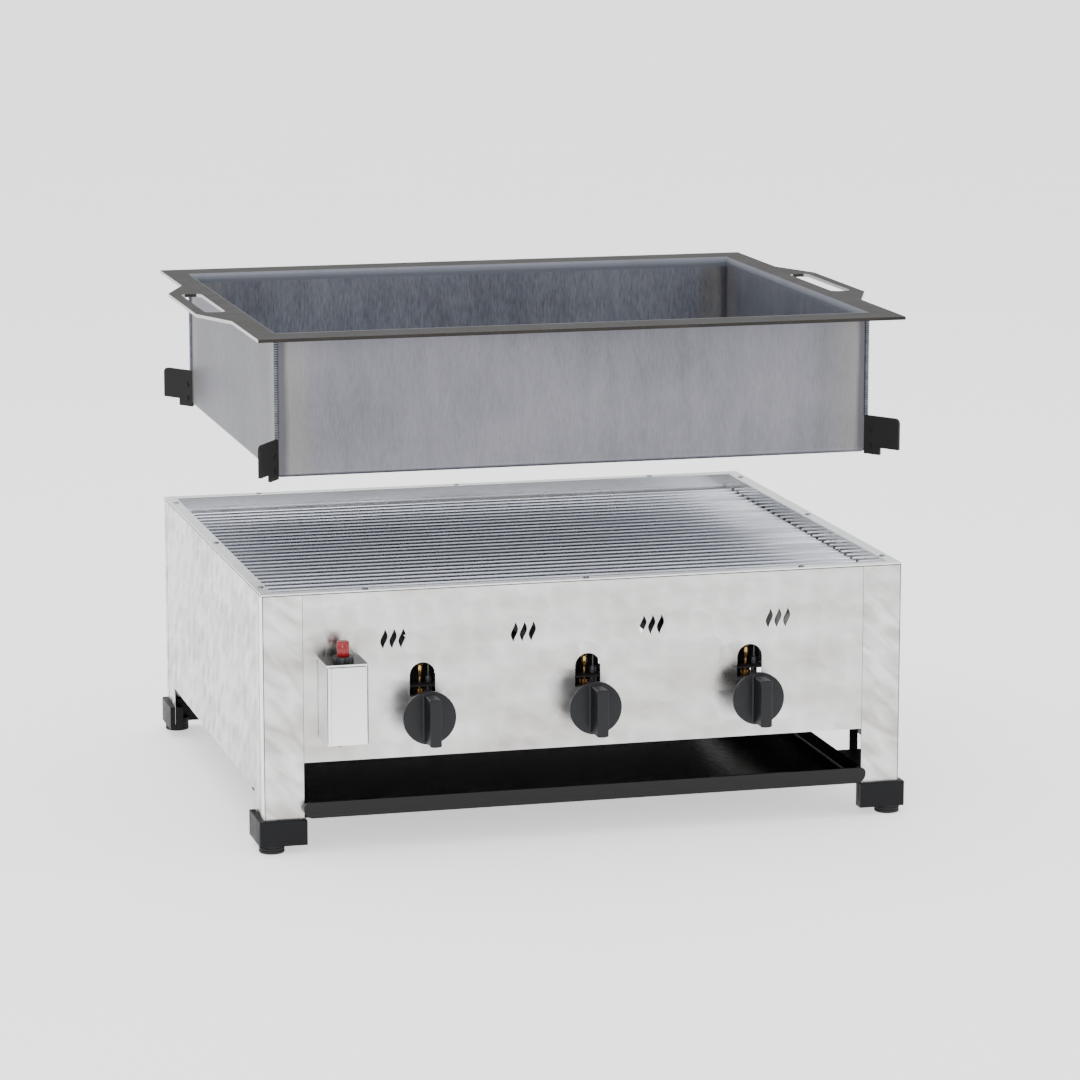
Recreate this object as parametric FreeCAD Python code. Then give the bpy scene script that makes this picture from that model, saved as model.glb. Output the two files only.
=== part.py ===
"""Gas table griddle: a deep steel pan, held above the three-burner stove that it drops onto.

Millimetres, +Z up, front towards -Y. The origin is the middle of the overall footprint, on the
plane that the feet stand on. One STEP file per sub-part is written to parts/.
"""
import FreeCAD, Part
import math
import os

V = FreeCAD.Vector
X_AXIS = V(1, 0, 0)
Y_AXIS = V(0, 1, 0)
Z_AXIS = V(0, 0, 1)

# ---------------------------------------------------------------- driving dimensions
# Stove body of folded stainless sheet
BODY_W = 620.0
BODY_D = 530.0
BODY_TOP = 245.0
SHEET = 1.2
SHEET_BEND_R = 1.0
PANEL_BOTTOM = 85.0
SIDE_BOTTOM = 51.5
LEG_FRONT_W = 38.0
LEG_SIDE_W = 46.0
TOP_LIP = 10.0

# Top frame, with the ledge that the grate lies on
FRAME_FLANGE = 12.0
GRATE_RECESS = 14.0
LEDGE_W = 12.0
RIVET_R = 1.6
RIVET_HEAD_R = 3.1
RIVET_CROWN_R = 2.2
RIVET_HEAD_H = 0.8
RIVET_CORE_R = 1.2
RIVET_INSET = 6.5
RIVET_END_X = 98.5
RIVET_END_Y = 38.0

# Grate
ROD_R = 3.0
ROD_PITCH = 17.6
ROD_MARGIN = 12.0
ROD_END_GAP = 1.5
CROSS_BAR_X = 190.0
CROSS_BAR_W = 4.0
CROSS_BAR_H = 10.0
WELD_SINK = 0.6

# Foot caps
CAP_PROUD = 5.0
CAP_WALL_IN = 7.0
CAP_PAST_LEG = 2.0
CAP_BOTTOM = 8.0
CAP_H = 24.0
CAP_FLOOR = 5.0
CAP_EDGE_R = 1.2
CAP_CORNER_R = 2.4
FOOT_R = 12.0
FOOT_INSET = 8.5
FOOT_GROOVE = 0.8
FOOT_GROOVE_H = 1.4

# Steam marks cut through the front panel
VENT_PITCH = 124.5
VENT_COUNT = 4
VENT_DROP = 47.0
VENT_H = 19.0
VENT_STEP = 8.6
VENT_W = 7.0
# One edge of a mark, bottom tip to top tip, as shares of half its width and half its height
VENT_EDGE = ((-0.2, -1.0), (0.06, -0.59), (0.43, -0.32), (1.0, 0.27), (0.69, 0.69), (0.2, 1.0))

# Controls
KNOB_PITCH = 159.0
KNOB_COUNT = 3
KNOB_Z = 127.5
KNOB_R = 25.0
KNOB_FACE = 31.0
KNOB_DISC_T = 6.0
KNOB_RIM_R = 1.2
KNOB_HUB_R = 15.0
KNOB_NECK_R = 19.5
KNOB_STOP_GAP = 1.0
KNOB_GRIP_W = 10.8
KNOB_GRIP_H = 24.0
KNOB_GRIP_R = 22.5
KNOB_GRIP_EDGE_R = 1.0
KNOB_PUSH = 3.0
SPINDLE_R = 4.0
SPINDLE_IN_KNOB = 18.0
PANEL_HOLE_R = 6.5
ARCH_W = 24.4
ARCH_RISE = 46.5
ARCH_H = 32.0

# Gas train
VALVE_W = 24.0
VALVE_H = 26.0
VALVE_L = 36.0
BONNET_R = 8.5
BONNET_L = 10.0
VALVE_END_WALL = 3.0
PLUNGER_R = 6.0
PLUNGER_L = 4.0
CHAMBER_R = 7.0
MANIFOLD_R = 8.0
MANIFOLD_WALL = 1.5
MANIFOLD_DROP = 5.0
MANIFOLD_BEND_R = 26.0
MANIFOLD_INSET = 48.0
MANIFOLD_PAST_VALVE = 19.0
CLAMP_T = 3.0
CLAMP_EYE_R = 12.0
INJECTOR_R = 5.5
INJECTOR_L = 9.0
NOZZLE_R = 3.0
NOZZLE_L = 8.0
NOZZLE_BORE_R = 0.6
INLET_REACH = 55.0
HEX_SIDES = 6
INLET_HEX_R = 13.5
INLET_HEX_L = 14.0
INLET_NECK_R = 7.6
INLET_THREAD_R = 6.58
INLET_THREAD_L = 14.0
INLET_BORE_R = 4.0

# Burners
BURNER_R = 17.0
BURNER_WALL = 1.2
BURNER_RAIL_GAP = 3.0
BURNER_FRONT_GAP = 24.0
BURNER_REAR_GAP = 60.0
MIXER_R = 11.0
MIXER_WALL = 1.0
MIXER_L = 280.0
RISER_R = 9.9
MIXER_MOUTH_GAP = 3.0
BELL_R = 13.5
BELL_L = 10.0
PORT_W = 1.6
PORT_H = 7.0
PORT_PITCH = 12.0
PORT_MARGIN = 30.0
BURNER_RAIL_W = 20.0
BURNER_RAIL_T = 1.5
BURNER_RAIL_LIP = 9.0
BURNER_RAIL_INSET = 70.0

# Flame sensor and spark electrode beside each burner
PILOT_Y = 15.0
PILOT_TAB_W = 30.0
PILOT_TAB_T = 1.5
PILOT_TAB_DROP = 8.0
SENSOR_X = 0.5
SENSOR_R = 3.2
SENSOR_NECK_R = 1.6
SENSOR_TIP_DROP = 3.5
SENSOR_TIP_R = 2.9
SENSOR_BULB_L = 13.0
SENSOR_NUT_R = 4.6
SENSOR_NUT_H = 6.0
ELECTRODE_X = 9.0
CERAMIC_R = 3.0
CERAMIC_ABOVE = 6.0
CERAMIC_BELOW = 9.0
WIRE_R = 0.9
WIRE_L = 11.0

# Igniter on the front panel
IGNITER_PAST_LEG = 14.0
BOX_W = 39.0
BOX_DEPTH = 40.0
BOX_RISE = 24.0
BOX_H = 75.5
BOX_WALL = 1.0
BOX_EDGE_R = 2.0
IGNITER_INSET = 19.0
BARREL_R = 9.2
BARREL_END_GAP = 2.5
NECK_R = 7.6
NUT_R = 9.8
NUT_H = 4.5
NUT_NOTCHES = 8
NUT_NOTCH_R = 1.0
BUTTON_R = 5.75
BUTTON_H = 14.0
BUTTON_EDGE_R = 1.0
BUTTON_STEM_R = 4.2
BUTTON_STEM_L = 10.0
BUTTON_TRAVEL = 3.0
BATTERY_R = 7.1
BATTERY_L = 49.2
BATTERY_PIP_R = 2.7
BATTERY_PIP_H = 1.2
BARREL_BORE_R = 7.4
BARREL_FLOOR = 2.0
SCREW_R = 1.5
SCREW_HEAD_R = 2.4
SCREW_HEAD_H = 1.5
SCREW_L = 6.0
SCREW_INSET = 5.0
SCREW_OFFSET = 6.5

# Drip tray and the runners that it slides on
TRAY_SIDE_PLAY = 2.0
TRAY_H = 15.0
TRAY_T = 1.0
TRAY_FRONT = 8.0
TRAY_REAR_GAP = 30.0
TRAY_CORNER_R = 12.0
TRAY_BEND_R = 3.0
LIP_OVERLAP = 2.0
LIP_T = 2.5
LIP_TOP_R = 5.0
LIP_FLAT = 1.0
RUNNER_T = 1.0
RUNNER_LEDGE = 13.0
RUNNER_SIDE_GAP = 1.0
RUNNER_H = 14.0
HANGER_REACH = 67.0
HANGER_POST = 26.0
HANGER_W = 8.0
HANGER_T = 2.0
HANGER_RISE = 21.0

# Pan
PAN_PLAY_X = 12.0
PAN_PLAY_Y = 29.0
PAN_H = 135.0
PAN_T = 3.0
PAN_BEND_R = 5.0
PAN_LIFT = 106.7
RIM_T = 3.0
RIM_BEND_R = 6.0
RIM_COLLAR = 9.0
HANDLE_BASE = 273.0
HANDLE_TIP = 156.0
HANDLE_OUT = 23.5
HANDLE_CORNER_R = 7.0
SLOT_L = 138.0
SLOT_W = 20.0
SLOT_IN = 7.0
SLOT_R = 7.0
BEAD_R = 2.4

# Corner plates that carry the pan on the top frame
PLATE_T = 3.0
PLATE_REST = 22.0
PLATE_TOP = 36.0
PLATE_SHOULDER = 6.0
PLATE_DROP = 1.0
PLATE_TOP_R = 5.0
PLATE_ANGLE = 55.0
PLATE_PIN_R = 1.5
PLATE_PIN_HEAD_R = 2.4
PLATE_PIN_HEAD_H = 0.7
PLATE_PIN_X = 6.0
PLATE_PIN_LOW = 7.0
PLATE_PIN_HIGH = 21.0

# Clearances
SEAT = 0.05
RUN = 0.05
BODY_GAP = 0.3
FIT_GAP = 0.2
PLATE_PLAY = 1.0
TOUCH = 0.01

# ---------------------------------------------------------------- places worked out from them
FRONT_REACH = max(BOX_DEPTH, KNOB_FACE + KNOB_GRIP_H)
MID_Y = (FRONT_REACH - INLET_REACH) / 2
FRONT = MID_Y - BODY_D / 2
BACK = MID_Y + BODY_D / 2
HALF_W = BODY_W / 2
OPEN_X = HALF_W - FRAME_FLANGE
OPEN_FRONT = FRONT + FRAME_FLANGE
OPEN_BACK = BACK - FRAME_FLANGE
SHEET_TOP = BODY_TOP - SHEET
LEDGE_TOP = BODY_TOP - GRATE_RECESS - 2 * ROD_R
CAP_TOP = CAP_BOTTOM + CAP_H
LEG_FOOT = CAP_BOTTOM + CAP_FLOOR
LEG_GAP = HALF_W - LEG_FRONT_W
ROD_COUNT = int((OPEN_BACK - OPEN_FRONT - 2 * ROD_MARGIN) / ROD_PITCH) + 1
VENT_Z = BODY_TOP - VENT_DROP
ARCH_TOP = KNOB_Z + ARCH_RISE
KNOB_XS = [(i - (KNOB_COUNT - 1) / 2) * KNOB_PITCH for i in range(KNOB_COUNT)]
VENT_XS = [(i - (VENT_COUNT - 1) / 2) * VENT_PITCH for i in range(VENT_COUNT)]
SIDE_NAMES = ("left", "middle", "right")
TRAY_W = 2 * (LEG_GAP - TRAY_SIDE_PLAY)
TRAY_BOTTOM = CAP_TOP + FIT_GAP + RUNNER_T + BODY_GAP
LIP_W = 2 * (LEG_GAP + LIP_OVERLAP)
LIP_BOTTOM_R = TRAY_H - LIP_TOP_R - LIP_FLAT
HANGER_TOP = PANEL_BOTTOM + HANGER_RISE
VALVE_FRONT = FRONT + SHEET + BONNET_L
VALVE_BACK = VALVE_FRONT + VALVE_L
KNOB_GAP = KNOB_PUSH + KNOB_STOP_GAP
CHAMBER_L = PLUNGER_L + KNOB_PUSH + 3 * BODY_GAP
CHAMBER_Y = VALVE_BACK - VALVE_END_WALL - CHAMBER_L
MANIFOLD_Y = VALVE_FRONT + VALVE_L / 2
MANIFOLD_Z = KNOB_Z - VALVE_H / 2 - MANIFOLD_R + MANIFOLD_DROP
MANIFOLD_X = HALF_W - MANIFOLD_INSET
MANIFOLD_START = KNOB_XS[0] - VALVE_W / 2 - MANIFOLD_PAST_VALVE
NOZZLE_TIP = VALVE_BACK + INJECTOR_L + NOZZLE_L
BURNER_FRONT = FRONT + BURNER_FRONT_GAP
BURNER_BACK = BACK - BURNER_REAR_GAP
BURNER_Z = KNOB_Z + MIXER_R + BURNER_RAIL_GAP + BURNER_RAIL_T + BURNER_R
PILOT_TAB_Z = BURNER_Z - PILOT_TAB_DROP
SENSOR_TIP_Z = ARCH_TOP - SENSOR_TIP_DROP
PAN_X = OPEN_X - PAN_PLAY_X
PAN_Y = OPEN_BACK - MID_Y - PAN_PLAY_Y
PAN_BOTTOM = BODY_TOP + BODY_GAP - PLATE_SHOULDER + PAN_LIFT
PAN_TOP = PAN_BOTTOM + PAN_H
RIM_BOTTOM = PAN_TOP - RIM_T
TUB_TOP = PAN_TOP - RIM_COLLAR
BEAD_TOP = RIM_BOTTOM - RIM_BEND_R + RIM_T
PLATE_TURN = math.radians(PLATE_ANGLE)
PLATE_TONGUE = (PAN_PLAY_X - PLATE_PLAY - PLATE_T / 2 * math.sin(PLATE_TURN)) / math.cos(PLATE_TURN)
PLATE_L = PLATE_TONGUE + PLATE_REST
BOX_BOTTOM = PANEL_BOTTOM + BOX_RISE
BOX_TOP = BOX_BOTTOM + BOX_H
BARREL_L = BOX_H - 2 * BOX_WALL - BARREL_END_GAP
IGNITER_X = BOX_W / 2 + IGNITER_PAST_LEG - LEG_GAP
IGNITER_Y = FRONT - BOX_DEPTH + IGNITER_INSET
NECK_TOP = BOX_TOP + NUT_H
RIVET_GRIP = 3 * SHEET
RIVET_XS = (RIVET_END_X - HALF_W, 0.0, HALF_W - RIVET_END_X)
RIVET_YS = (FRONT + RIVET_END_Y, MID_Y, BACK - RIVET_END_Y)
FRAME_RIVETS = (
    [(x, y) for x in RIVET_XS for y in (FRONT + RIVET_INSET, BACK - RIVET_INSET)]
    + [(x, y) for x in (RIVET_INSET - HALF_W, HALF_W - RIVET_INSET) for y in RIVET_YS])
CORNERS = {"front_left": (-1, -1), "front_right": (1, -1), "rear_left": (-1, 1), "rear_right": (1, 1)}


# ---------------------------------------------------------------- helpers
def box(x0, x1, y0, y1, z0, z1):
    low = V(min(x0, x1), min(y0, y1), min(z0, z1))
    return Part.makeBox(abs(x1 - x0), abs(y1 - y0), abs(z1 - z0), low)


def rod(radius, start, length, axis):
    return Part.makeCylinder(radius, length, start, axis)


def fillet(shape, radius, chosen):
    """Round the edges for which chosen(edge) is true."""
    return shape.makeFillet(radius, [edge for edge in shape.Edges if chosen(edge)])


def upright(edge):
    """True for a straight edge along Z."""
    ends = edge.Vertexes
    return len(ends) == 2 and abs(ends[0].Z - ends[1].Z) > edge.Length - TOUCH


def level_at(z):
    """Choose the edges that lie wholly at height z."""
    return lambda edge: all(abs(v.Z - z) < TOUCH for v in edge.Vertexes)


def prism(points, vector):
    """Solid from a closed outline of points, pushed along vector."""
    wire = Part.makePolygon(points + points[:1])
    return Part.Face(wire).extrude(vector)


def mirror_x(shape):
    return shape.mirror(V(0, 0, 0), X_AXIS)


def mirror_y(shape):
    return shape.mirror(V(0, MID_Y, 0), Y_AXIS)


def at_corner(shape, side):
    """Take a piece made for the rear right corner to the corner on this side."""
    if side[0] < 0:
        shape = mirror_x(shape)
    if side[1] < 0:
        shape = mirror_y(shape)
    return shape


def save(name, shape):
    shape.exportStep("parts/" + name + ".step")


# ---------------------------------------------------------------- stove body
def rivet_holes(depth):
    return [rod(RIVET_R + SEAT, V(x, y, BODY_TOP - depth), depth, Z_AXIS) for x, y in FRAME_RIVETS]


def vent_mark(x):
    """One wavy steam mark, alike when turned half round, as a cutter through the front sheet."""
    half_w = VENT_W / 2
    half_h = VENT_H / 2
    right = [V(x + share_x * half_w, FRONT, VENT_Z + share_z * half_h)
             for share_x, share_z in VENT_EDGE]
    left = [V(2 * x - point.x, FRONT, 2 * VENT_Z - point.z) for point in right]
    edges = []
    for points in (right, left):
        curve = Part.BSplineCurve()
        curve.interpolate(points)
        edges.append(curve.toShape())
    return Part.Face(Part.Wire(edges)).extrude(V(0, SHEET, 0))


def arch_cutter(x):
    """Round-topped lighting port above one spindle."""
    radius = ARCH_W / 2
    centre_z = ARCH_TOP - radius
    slot = box(x - radius, x + radius, FRONT, FRONT + SHEET, ARCH_TOP - ARCH_H, centre_z)
    return slot.fuse(rod(radius, V(x, FRONT, centre_z), SHEET, Y_AXIS))


def end_panel(outer_y, inward, cutters):
    """Front or back sheet with its two legs, its cut-outs and a turned-in lip along the top."""
    inner_y = outer_y + inward * SHEET
    sheet = box(-HALF_W, HALF_W, outer_y, inner_y, LEG_FOOT, SHEET_TOP)
    gap = box(-LEG_GAP, LEG_GAP, outer_y, inner_y, LEG_FOOT, PANEL_BOTTOM)
    corner = lambda edge: upright(edge) and abs(edge.Vertexes[0].Y - outer_y) < TOUCH and (
        abs(abs(edge.Vertexes[0].X) - HALF_W) < TOUCH)
    sheet = fillet(sheet.cut([gap] + cutters), SHEET_BEND_R, corner)
    lip = box(SHEET - HALF_W, HALF_W - SHEET, inner_y, outer_y + inward * TOP_LIP,
              SHEET_TOP - SHEET, SHEET_TOP)
    return sheet.fuse(lip).cut(rivet_holes(RIVET_GRIP)).removeSplitter()


def front_panel():
    cutters = [vent_mark(x + step * VENT_STEP) for x in VENT_XS for step in (-1, 0, 1)]
    cutters += [arch_cutter(x) for x in KNOB_XS]
    cutters += [rod(PANEL_HOLE_R, V(x, FRONT, KNOB_Z), SHEET, Y_AXIS) for x in KNOB_XS]
    return end_panel(FRONT, 1, cutters)


def back_panel():
    pipe_hole = rod(MANIFOLD_R + FIT_GAP, V(MANIFOLD_X, BACK - SHEET, MANIFOLD_Z), SHEET, Y_AXIS)
    return end_panel(BACK, -1, [pipe_hole])


def right_side_panel():
    y0 = FRONT + SHEET
    y1 = BACK - SHEET
    sheet = box(HALF_W - SHEET, HALF_W, y0, y1, LEG_FOOT, SHEET_TOP)
    gap = box(HALF_W - SHEET, HALF_W, FRONT + LEG_SIDE_W, BACK - LEG_SIDE_W, LEG_FOOT, SIDE_BOTTOM)
    lip = box(HALF_W - TOP_LIP, HALF_W - SHEET, FRONT + TOP_LIP, BACK - TOP_LIP,
              SHEET_TOP - SHEET, SHEET_TOP)
    return sheet.cut(gap).fuse(lip).cut(rivet_holes(RIVET_GRIP)).removeSplitter()


def ring(half_x, y0, y1, width, z0, z1):
    """Flat rectangular ring: outer half width and ends given, width measured inwards."""
    outer = box(-half_x, half_x, y0, y1, z0, z1)
    return outer.cut(box(width - half_x, half_x - width, y0 + width, y1 - width, z0, z1))


def opening_edge(edge):
    """True for the frame's top edges round the opening."""
    bound = edge.BoundBox
    inside_x = TOUCH - HALF_W < bound.XMin and bound.XMax < HALF_W - TOUCH
    inside_y = FRONT + TOUCH < bound.YMin and bound.YMax < BACK - TOUCH
    return level_at(BODY_TOP)(edge) and inside_x and inside_y


def top_frame():
    """Flange on the body, a wall down into it and the ledge under the grate."""
    wall_x = OPEN_X + SHEET
    flange = ring(HALF_W, FRONT, BACK, FRAME_FLANGE, SHEET_TOP, BODY_TOP)
    wall = ring(wall_x, OPEN_FRONT - SHEET, OPEN_BACK + SHEET, SHEET, LEDGE_TOP - SHEET, SHEET_TOP)
    ledge = ring(OPEN_X, OPEN_FRONT, OPEN_BACK, LEDGE_W, LEDGE_TOP - SHEET, LEDGE_TOP)
    frame = flange.fuse([wall, ledge]).removeSplitter()
    return fillet(frame, SHEET_BEND_R, opening_edge).cut(rivet_holes(SHEET))


def frame_rivets():
    rivets = []
    for x, y in FRAME_RIVETS:
        shank = rod(RIVET_R, V(x, y, BODY_TOP - RIVET_GRIP), RIVET_GRIP, Z_AXIS)
        head = Part.makeCone(RIVET_HEAD_R, RIVET_CROWN_R, RIVET_HEAD_H, V(x, y, BODY_TOP), Z_AXIS)
        core = rod(RIVET_CORE_R, V(x, y, SHEET_TOP), SHEET + RIVET_HEAD_H, Z_AXIS)
        rivets.append(shank.fuse(head).cut(core).removeSplitter())
    return Part.makeCompound(rivets)


def foot_cap():
    """Plastic cap on the rear right leg, grooved for the two leg sheets."""
    out_x = HALF_W + CAP_PROUD
    out_y = BACK + CAP_PROUD
    in_x = LEG_GAP - CAP_PAST_LEG
    in_y = BACK - LEG_SIDE_W - CAP_PAST_LEG
    wall_x = HALF_W - SHEET - CAP_WALL_IN
    wall_y = BACK - SHEET - CAP_WALL_IN
    cap = box(in_x, out_x, wall_y, out_y, CAP_BOTTOM, CAP_TOP)
    cap = cap.fuse(box(wall_x, out_x, in_y, out_y, CAP_BOTTOM, CAP_TOP)).removeSplitter()
    foot_x = HALF_W - FOOT_INSET
    foot_y = BACK - FOOT_INSET
    seat = rod(FOOT_R, V(foot_x, foot_y, CAP_BOTTOM), CAP_FLOOR, Z_AXIS)
    outer = lambda edge: upright(edge) and edge.Vertexes[0].X > HALF_W and edge.Vertexes[0].Y > BACK
    cap = fillet(cap, CAP_CORNER_R, outer)
    cap = fillet(cap, CAP_EDGE_R, level_at(CAP_TOP))
    groove_x = box(in_x, HALF_W + SEAT, BACK - SHEET - SEAT, BACK + SEAT, LEG_FOOT, CAP_TOP)
    groove_y = box(HALF_W - SHEET - SEAT, HALF_W + SEAT, in_y, BACK, LEG_FOOT, CAP_TOP)
    return cap.fuse(seat).cut([groove_x, groove_y]).removeSplitter()


def foot():
    """Round foot under the cap, with one turned groove."""
    centre = V(HALF_W - FOOT_INSET, BACK - FOOT_INSET, 0)
    body = rod(FOOT_R, centre, CAP_BOTTOM, Z_AXIS)
    groove_z = CAP_BOTTOM - 2 * FOOT_GROOVE_H
    groove = rod(FOOT_R, centre + V(0, 0, groove_z), FOOT_GROOVE_H, Z_AXIS)
    groove = groove.cut(rod(FOOT_R - FOOT_GROOVE, centre + V(0, 0, groove_z), FOOT_GROOVE_H, Z_AXIS))
    return fillet(body.cut(groove), FOOT_GROOVE, level_at(0))


def grate():
    """Round rods across the opening, welded on three flat bars."""
    half = OPEN_X - ROD_END_GAP
    centre_z = LEDGE_TOP + ROD_R
    first = MID_Y - (ROD_COUNT - 1) / 2 * ROD_PITCH
    pieces = [rod(ROD_R, V(-half, first + i * ROD_PITCH, centre_z), 2 * half, X_AXIS)
              for i in range(ROD_COUNT)]
    end = (ROD_COUNT - 1) / 2 * ROD_PITCH
    for x in (-CROSS_BAR_X, 0.0, CROSS_BAR_X):
        pieces.append(box(x - CROSS_BAR_W / 2, x + CROSS_BAR_W / 2, MID_Y - end, MID_Y + end,
                          LEDGE_TOP + WELD_SINK - CROSS_BAR_H, LEDGE_TOP + WELD_SINK))
    return pieces[0].fuse(pieces[1:])


# ---------------------------------------------------------------- drip tray
def drip_tray():
    """Shallow tray with a wider lip that stops it against the front legs."""
    y0 = FRONT - TRAY_FRONT
    y1 = BACK - TRAY_REAR_GAP
    top = TRAY_BOTTOM + TRAY_H
    half = TRAY_W / 2
    outer = fillet(box(-half, half, y0, y1, TRAY_BOTTOM, top), TRAY_CORNER_R, upright)
    outer = fillet(outer, TRAY_BEND_R, level_at(TRAY_BOTTOM))
    hollow = box(TRAY_T - half, half - TRAY_T, y0 + LIP_T, y1 - TRAY_T, TRAY_BOTTOM + TRAY_T, top)
    hollow = fillet(hollow, TRAY_CORNER_R - TRAY_T, upright)
    hollow = fillet(hollow, TRAY_BEND_R - TRAY_T, level_at(TRAY_BOTTOM + TRAY_T))
    lip = box(-LIP_W / 2, LIP_W / 2, y0, y0 + LIP_T, TRAY_BOTTOM, top)
    ends = lambda z: lambda edge: level_at(z)(edge) and (
        abs(edge.Vertexes[-1].Y - edge.Vertexes[0].Y) > LIP_T - TOUCH)
    lip = fillet(lip, LIP_BOTTOM_R, ends(TRAY_BOTTOM))
    lip = fillet(lip, LIP_TOP_R, ends(top))
    return outer.fuse(lip).cut(hollow).removeSplitter()


def right_tray_runner():
    """Angle under the tray's right edge, hung from the legs and the side sheet."""
    side = TRAY_W / 2 + RUNNER_SIDE_GAP
    top = TRAY_BOTTOM - BODY_GAP
    y0 = FRONT + SHEET
    y1 = BACK - SHEET
    web_top = top + RUNNER_H
    ledge = box(side - RUNNER_LEDGE, side + RUNNER_T, y0, y1, top - RUNNER_T, top)
    web = box(side, side + RUNNER_T, y0, y1, top, web_top)
    pieces = [web]
    hanger_x = HALF_W - SHEET
    for low, high, strap in ((y0, FRONT + HANGER_REACH, FRONT + HANGER_REACH - HANGER_T),
                             (BACK - HANGER_REACH, y1, BACK - HANGER_REACH)):
        pieces.append(box(side, hanger_x, low, high, web_top, web_top + RUNNER_T))
        post_x = hanger_x - HANGER_POST
        pieces.append(box(post_x, post_x + HANGER_W, strap, strap + HANGER_T,
                          web_top, HANGER_TOP))
        pieces.append(box(post_x, hanger_x, strap, strap + HANGER_T,
                          HANGER_TOP - HANGER_W, HANGER_TOP))
    return ledge.fuse(pieces).removeSplitter()


# ---------------------------------------------------------------- gas train
def manifold_path(radius):
    """Rail behind the valves, one bend and the run back through the rear panel."""
    start = V(MANIFOLD_START, MANIFOLD_Y, MANIFOLD_Z)
    bend_x = MANIFOLD_X - MANIFOLD_BEND_R
    centre = V(bend_x, MANIFOLD_Y + MANIFOLD_BEND_R, MANIFOLD_Z)
    rail = rod(radius, start, bend_x - MANIFOLD_START, X_AXIS)
    bend = Part.makeTorus(MANIFOLD_BEND_R, radius, V(0, 0, 0), Z_AXIS, -180, 180, 90)
    bend.rotate(V(0, 0, 0), Z_AXIS, -90)
    bend.translate(centre)
    run = rod(radius, V(MANIFOLD_X, centre.y, MANIFOLD_Z), BACK - centre.y, Y_AXIS)
    return rail.fuse([bend, run])


def gas_manifold():
    pipe = manifold_path(MANIFOLD_R).cut(manifold_path(MANIFOLD_R - MANIFOLD_WALL))
    plug = rod(MANIFOLD_R, V(MANIFOLD_START - MANIFOLD_WALL, MANIFOLD_Y, MANIFOLD_Z),
               MANIFOLD_WALL, X_AXIS)
    return pipe.fuse(plug).removeSplitter()


def manifold_clamps():
    """Ring plates between the valves that hold the rail on the back of the front sheet."""
    clamps = []
    for knob_x in KNOB_XS[1:]:
        x = knob_x - KNOB_PITCH / 2
        plate = box(x, x + CLAMP_T, FRONT + SHEET, MANIFOLD_Y,
                    MANIFOLD_Z - MANIFOLD_R, MANIFOLD_Z + MANIFOLD_R)
        start = V(x, MANIFOLD_Y, MANIFOLD_Z)
        eye = rod(CLAMP_EYE_R, start, CLAMP_T, X_AXIS)
        hole = rod(MANIFOLD_R + SEAT, start, CLAMP_T, X_AXIS)
        clamps.append(plate.fuse(eye).cut(hole).removeSplitter())
    return Part.makeCompound(clamps)


def gas_inlet():
    """Union on the rear panel with a male thread for the hose."""
    centre = V(MANIFOLD_X, BACK, MANIFOLD_Z)
    turns = [2 * math.pi / HEX_SIDES * i for i in range(HEX_SIDES)]
    corners = [centre + V(INLET_HEX_R * math.cos(turn), 0, INLET_HEX_R * math.sin(turn))
               for turn in turns]
    nut = prism(corners, V(0, INLET_HEX_L, 0))
    neck = rod(INLET_NECK_R, centre, INLET_REACH - INLET_THREAD_L, Y_AXIS)
    thread = rod(INLET_THREAD_R, centre, INLET_REACH, Y_AXIS)
    bore = rod(INLET_BORE_R, centre, INLET_REACH, Y_AXIS)
    return nut.fuse([neck, thread]).cut(bore).removeSplitter()


def gas_valve(x):
    """Gas cock: bonnet against the panel, block on the rail, chamber for the plunger."""
    half_w = VALVE_W / 2
    bottom = MANIFOLD_Z
    block = box(x - half_w, x + half_w, VALVE_FRONT, VALVE_BACK, bottom, KNOB_Z + VALVE_H / 2)
    bonnet = rod(BONNET_R, V(x, FRONT + SHEET, KNOB_Z), BONNET_L, Y_AXIS)
    bore = rod(SPINDLE_R + RUN, V(x, FRONT + SHEET, KNOB_Z), CHAMBER_Y - FRONT - SHEET, Y_AXIS)
    chamber = rod(CHAMBER_R, V(x, CHAMBER_Y, KNOB_Z), CHAMBER_L, Y_AXIS)
    saddle = rod(MANIFOLD_R + SEAT, V(x - half_w, MANIFOLD_Y, MANIFOLD_Z), VALVE_W, X_AXIS)
    return block.fuse(bonnet).cut([bore, chamber, saddle]).removeSplitter()


def valve_plunger(x):
    """Pressed in with the knob: opens the safety seat behind the spindle."""
    return rod(PLUNGER_R, V(x, CHAMBER_Y + 2 * BODY_GAP, KNOB_Z), PLUNGER_L, Y_AXIS)


def injectors():
    jets = []
    for x in KNOB_XS:
        base = V(x, VALVE_BACK, KNOB_Z)
        body = rod(INJECTOR_R, base, INJECTOR_L, Y_AXIS)
        nozzle = rod(NOZZLE_R, base, INJECTOR_L + NOZZLE_L, Y_AXIS)
        bore = rod(NOZZLE_BORE_R, base, INJECTOR_L + NOZZLE_L, Y_AXIS)
        jets.append(body.fuse(nozzle).cut(bore).removeSplitter())
    return Part.makeCompound(jets)


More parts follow.
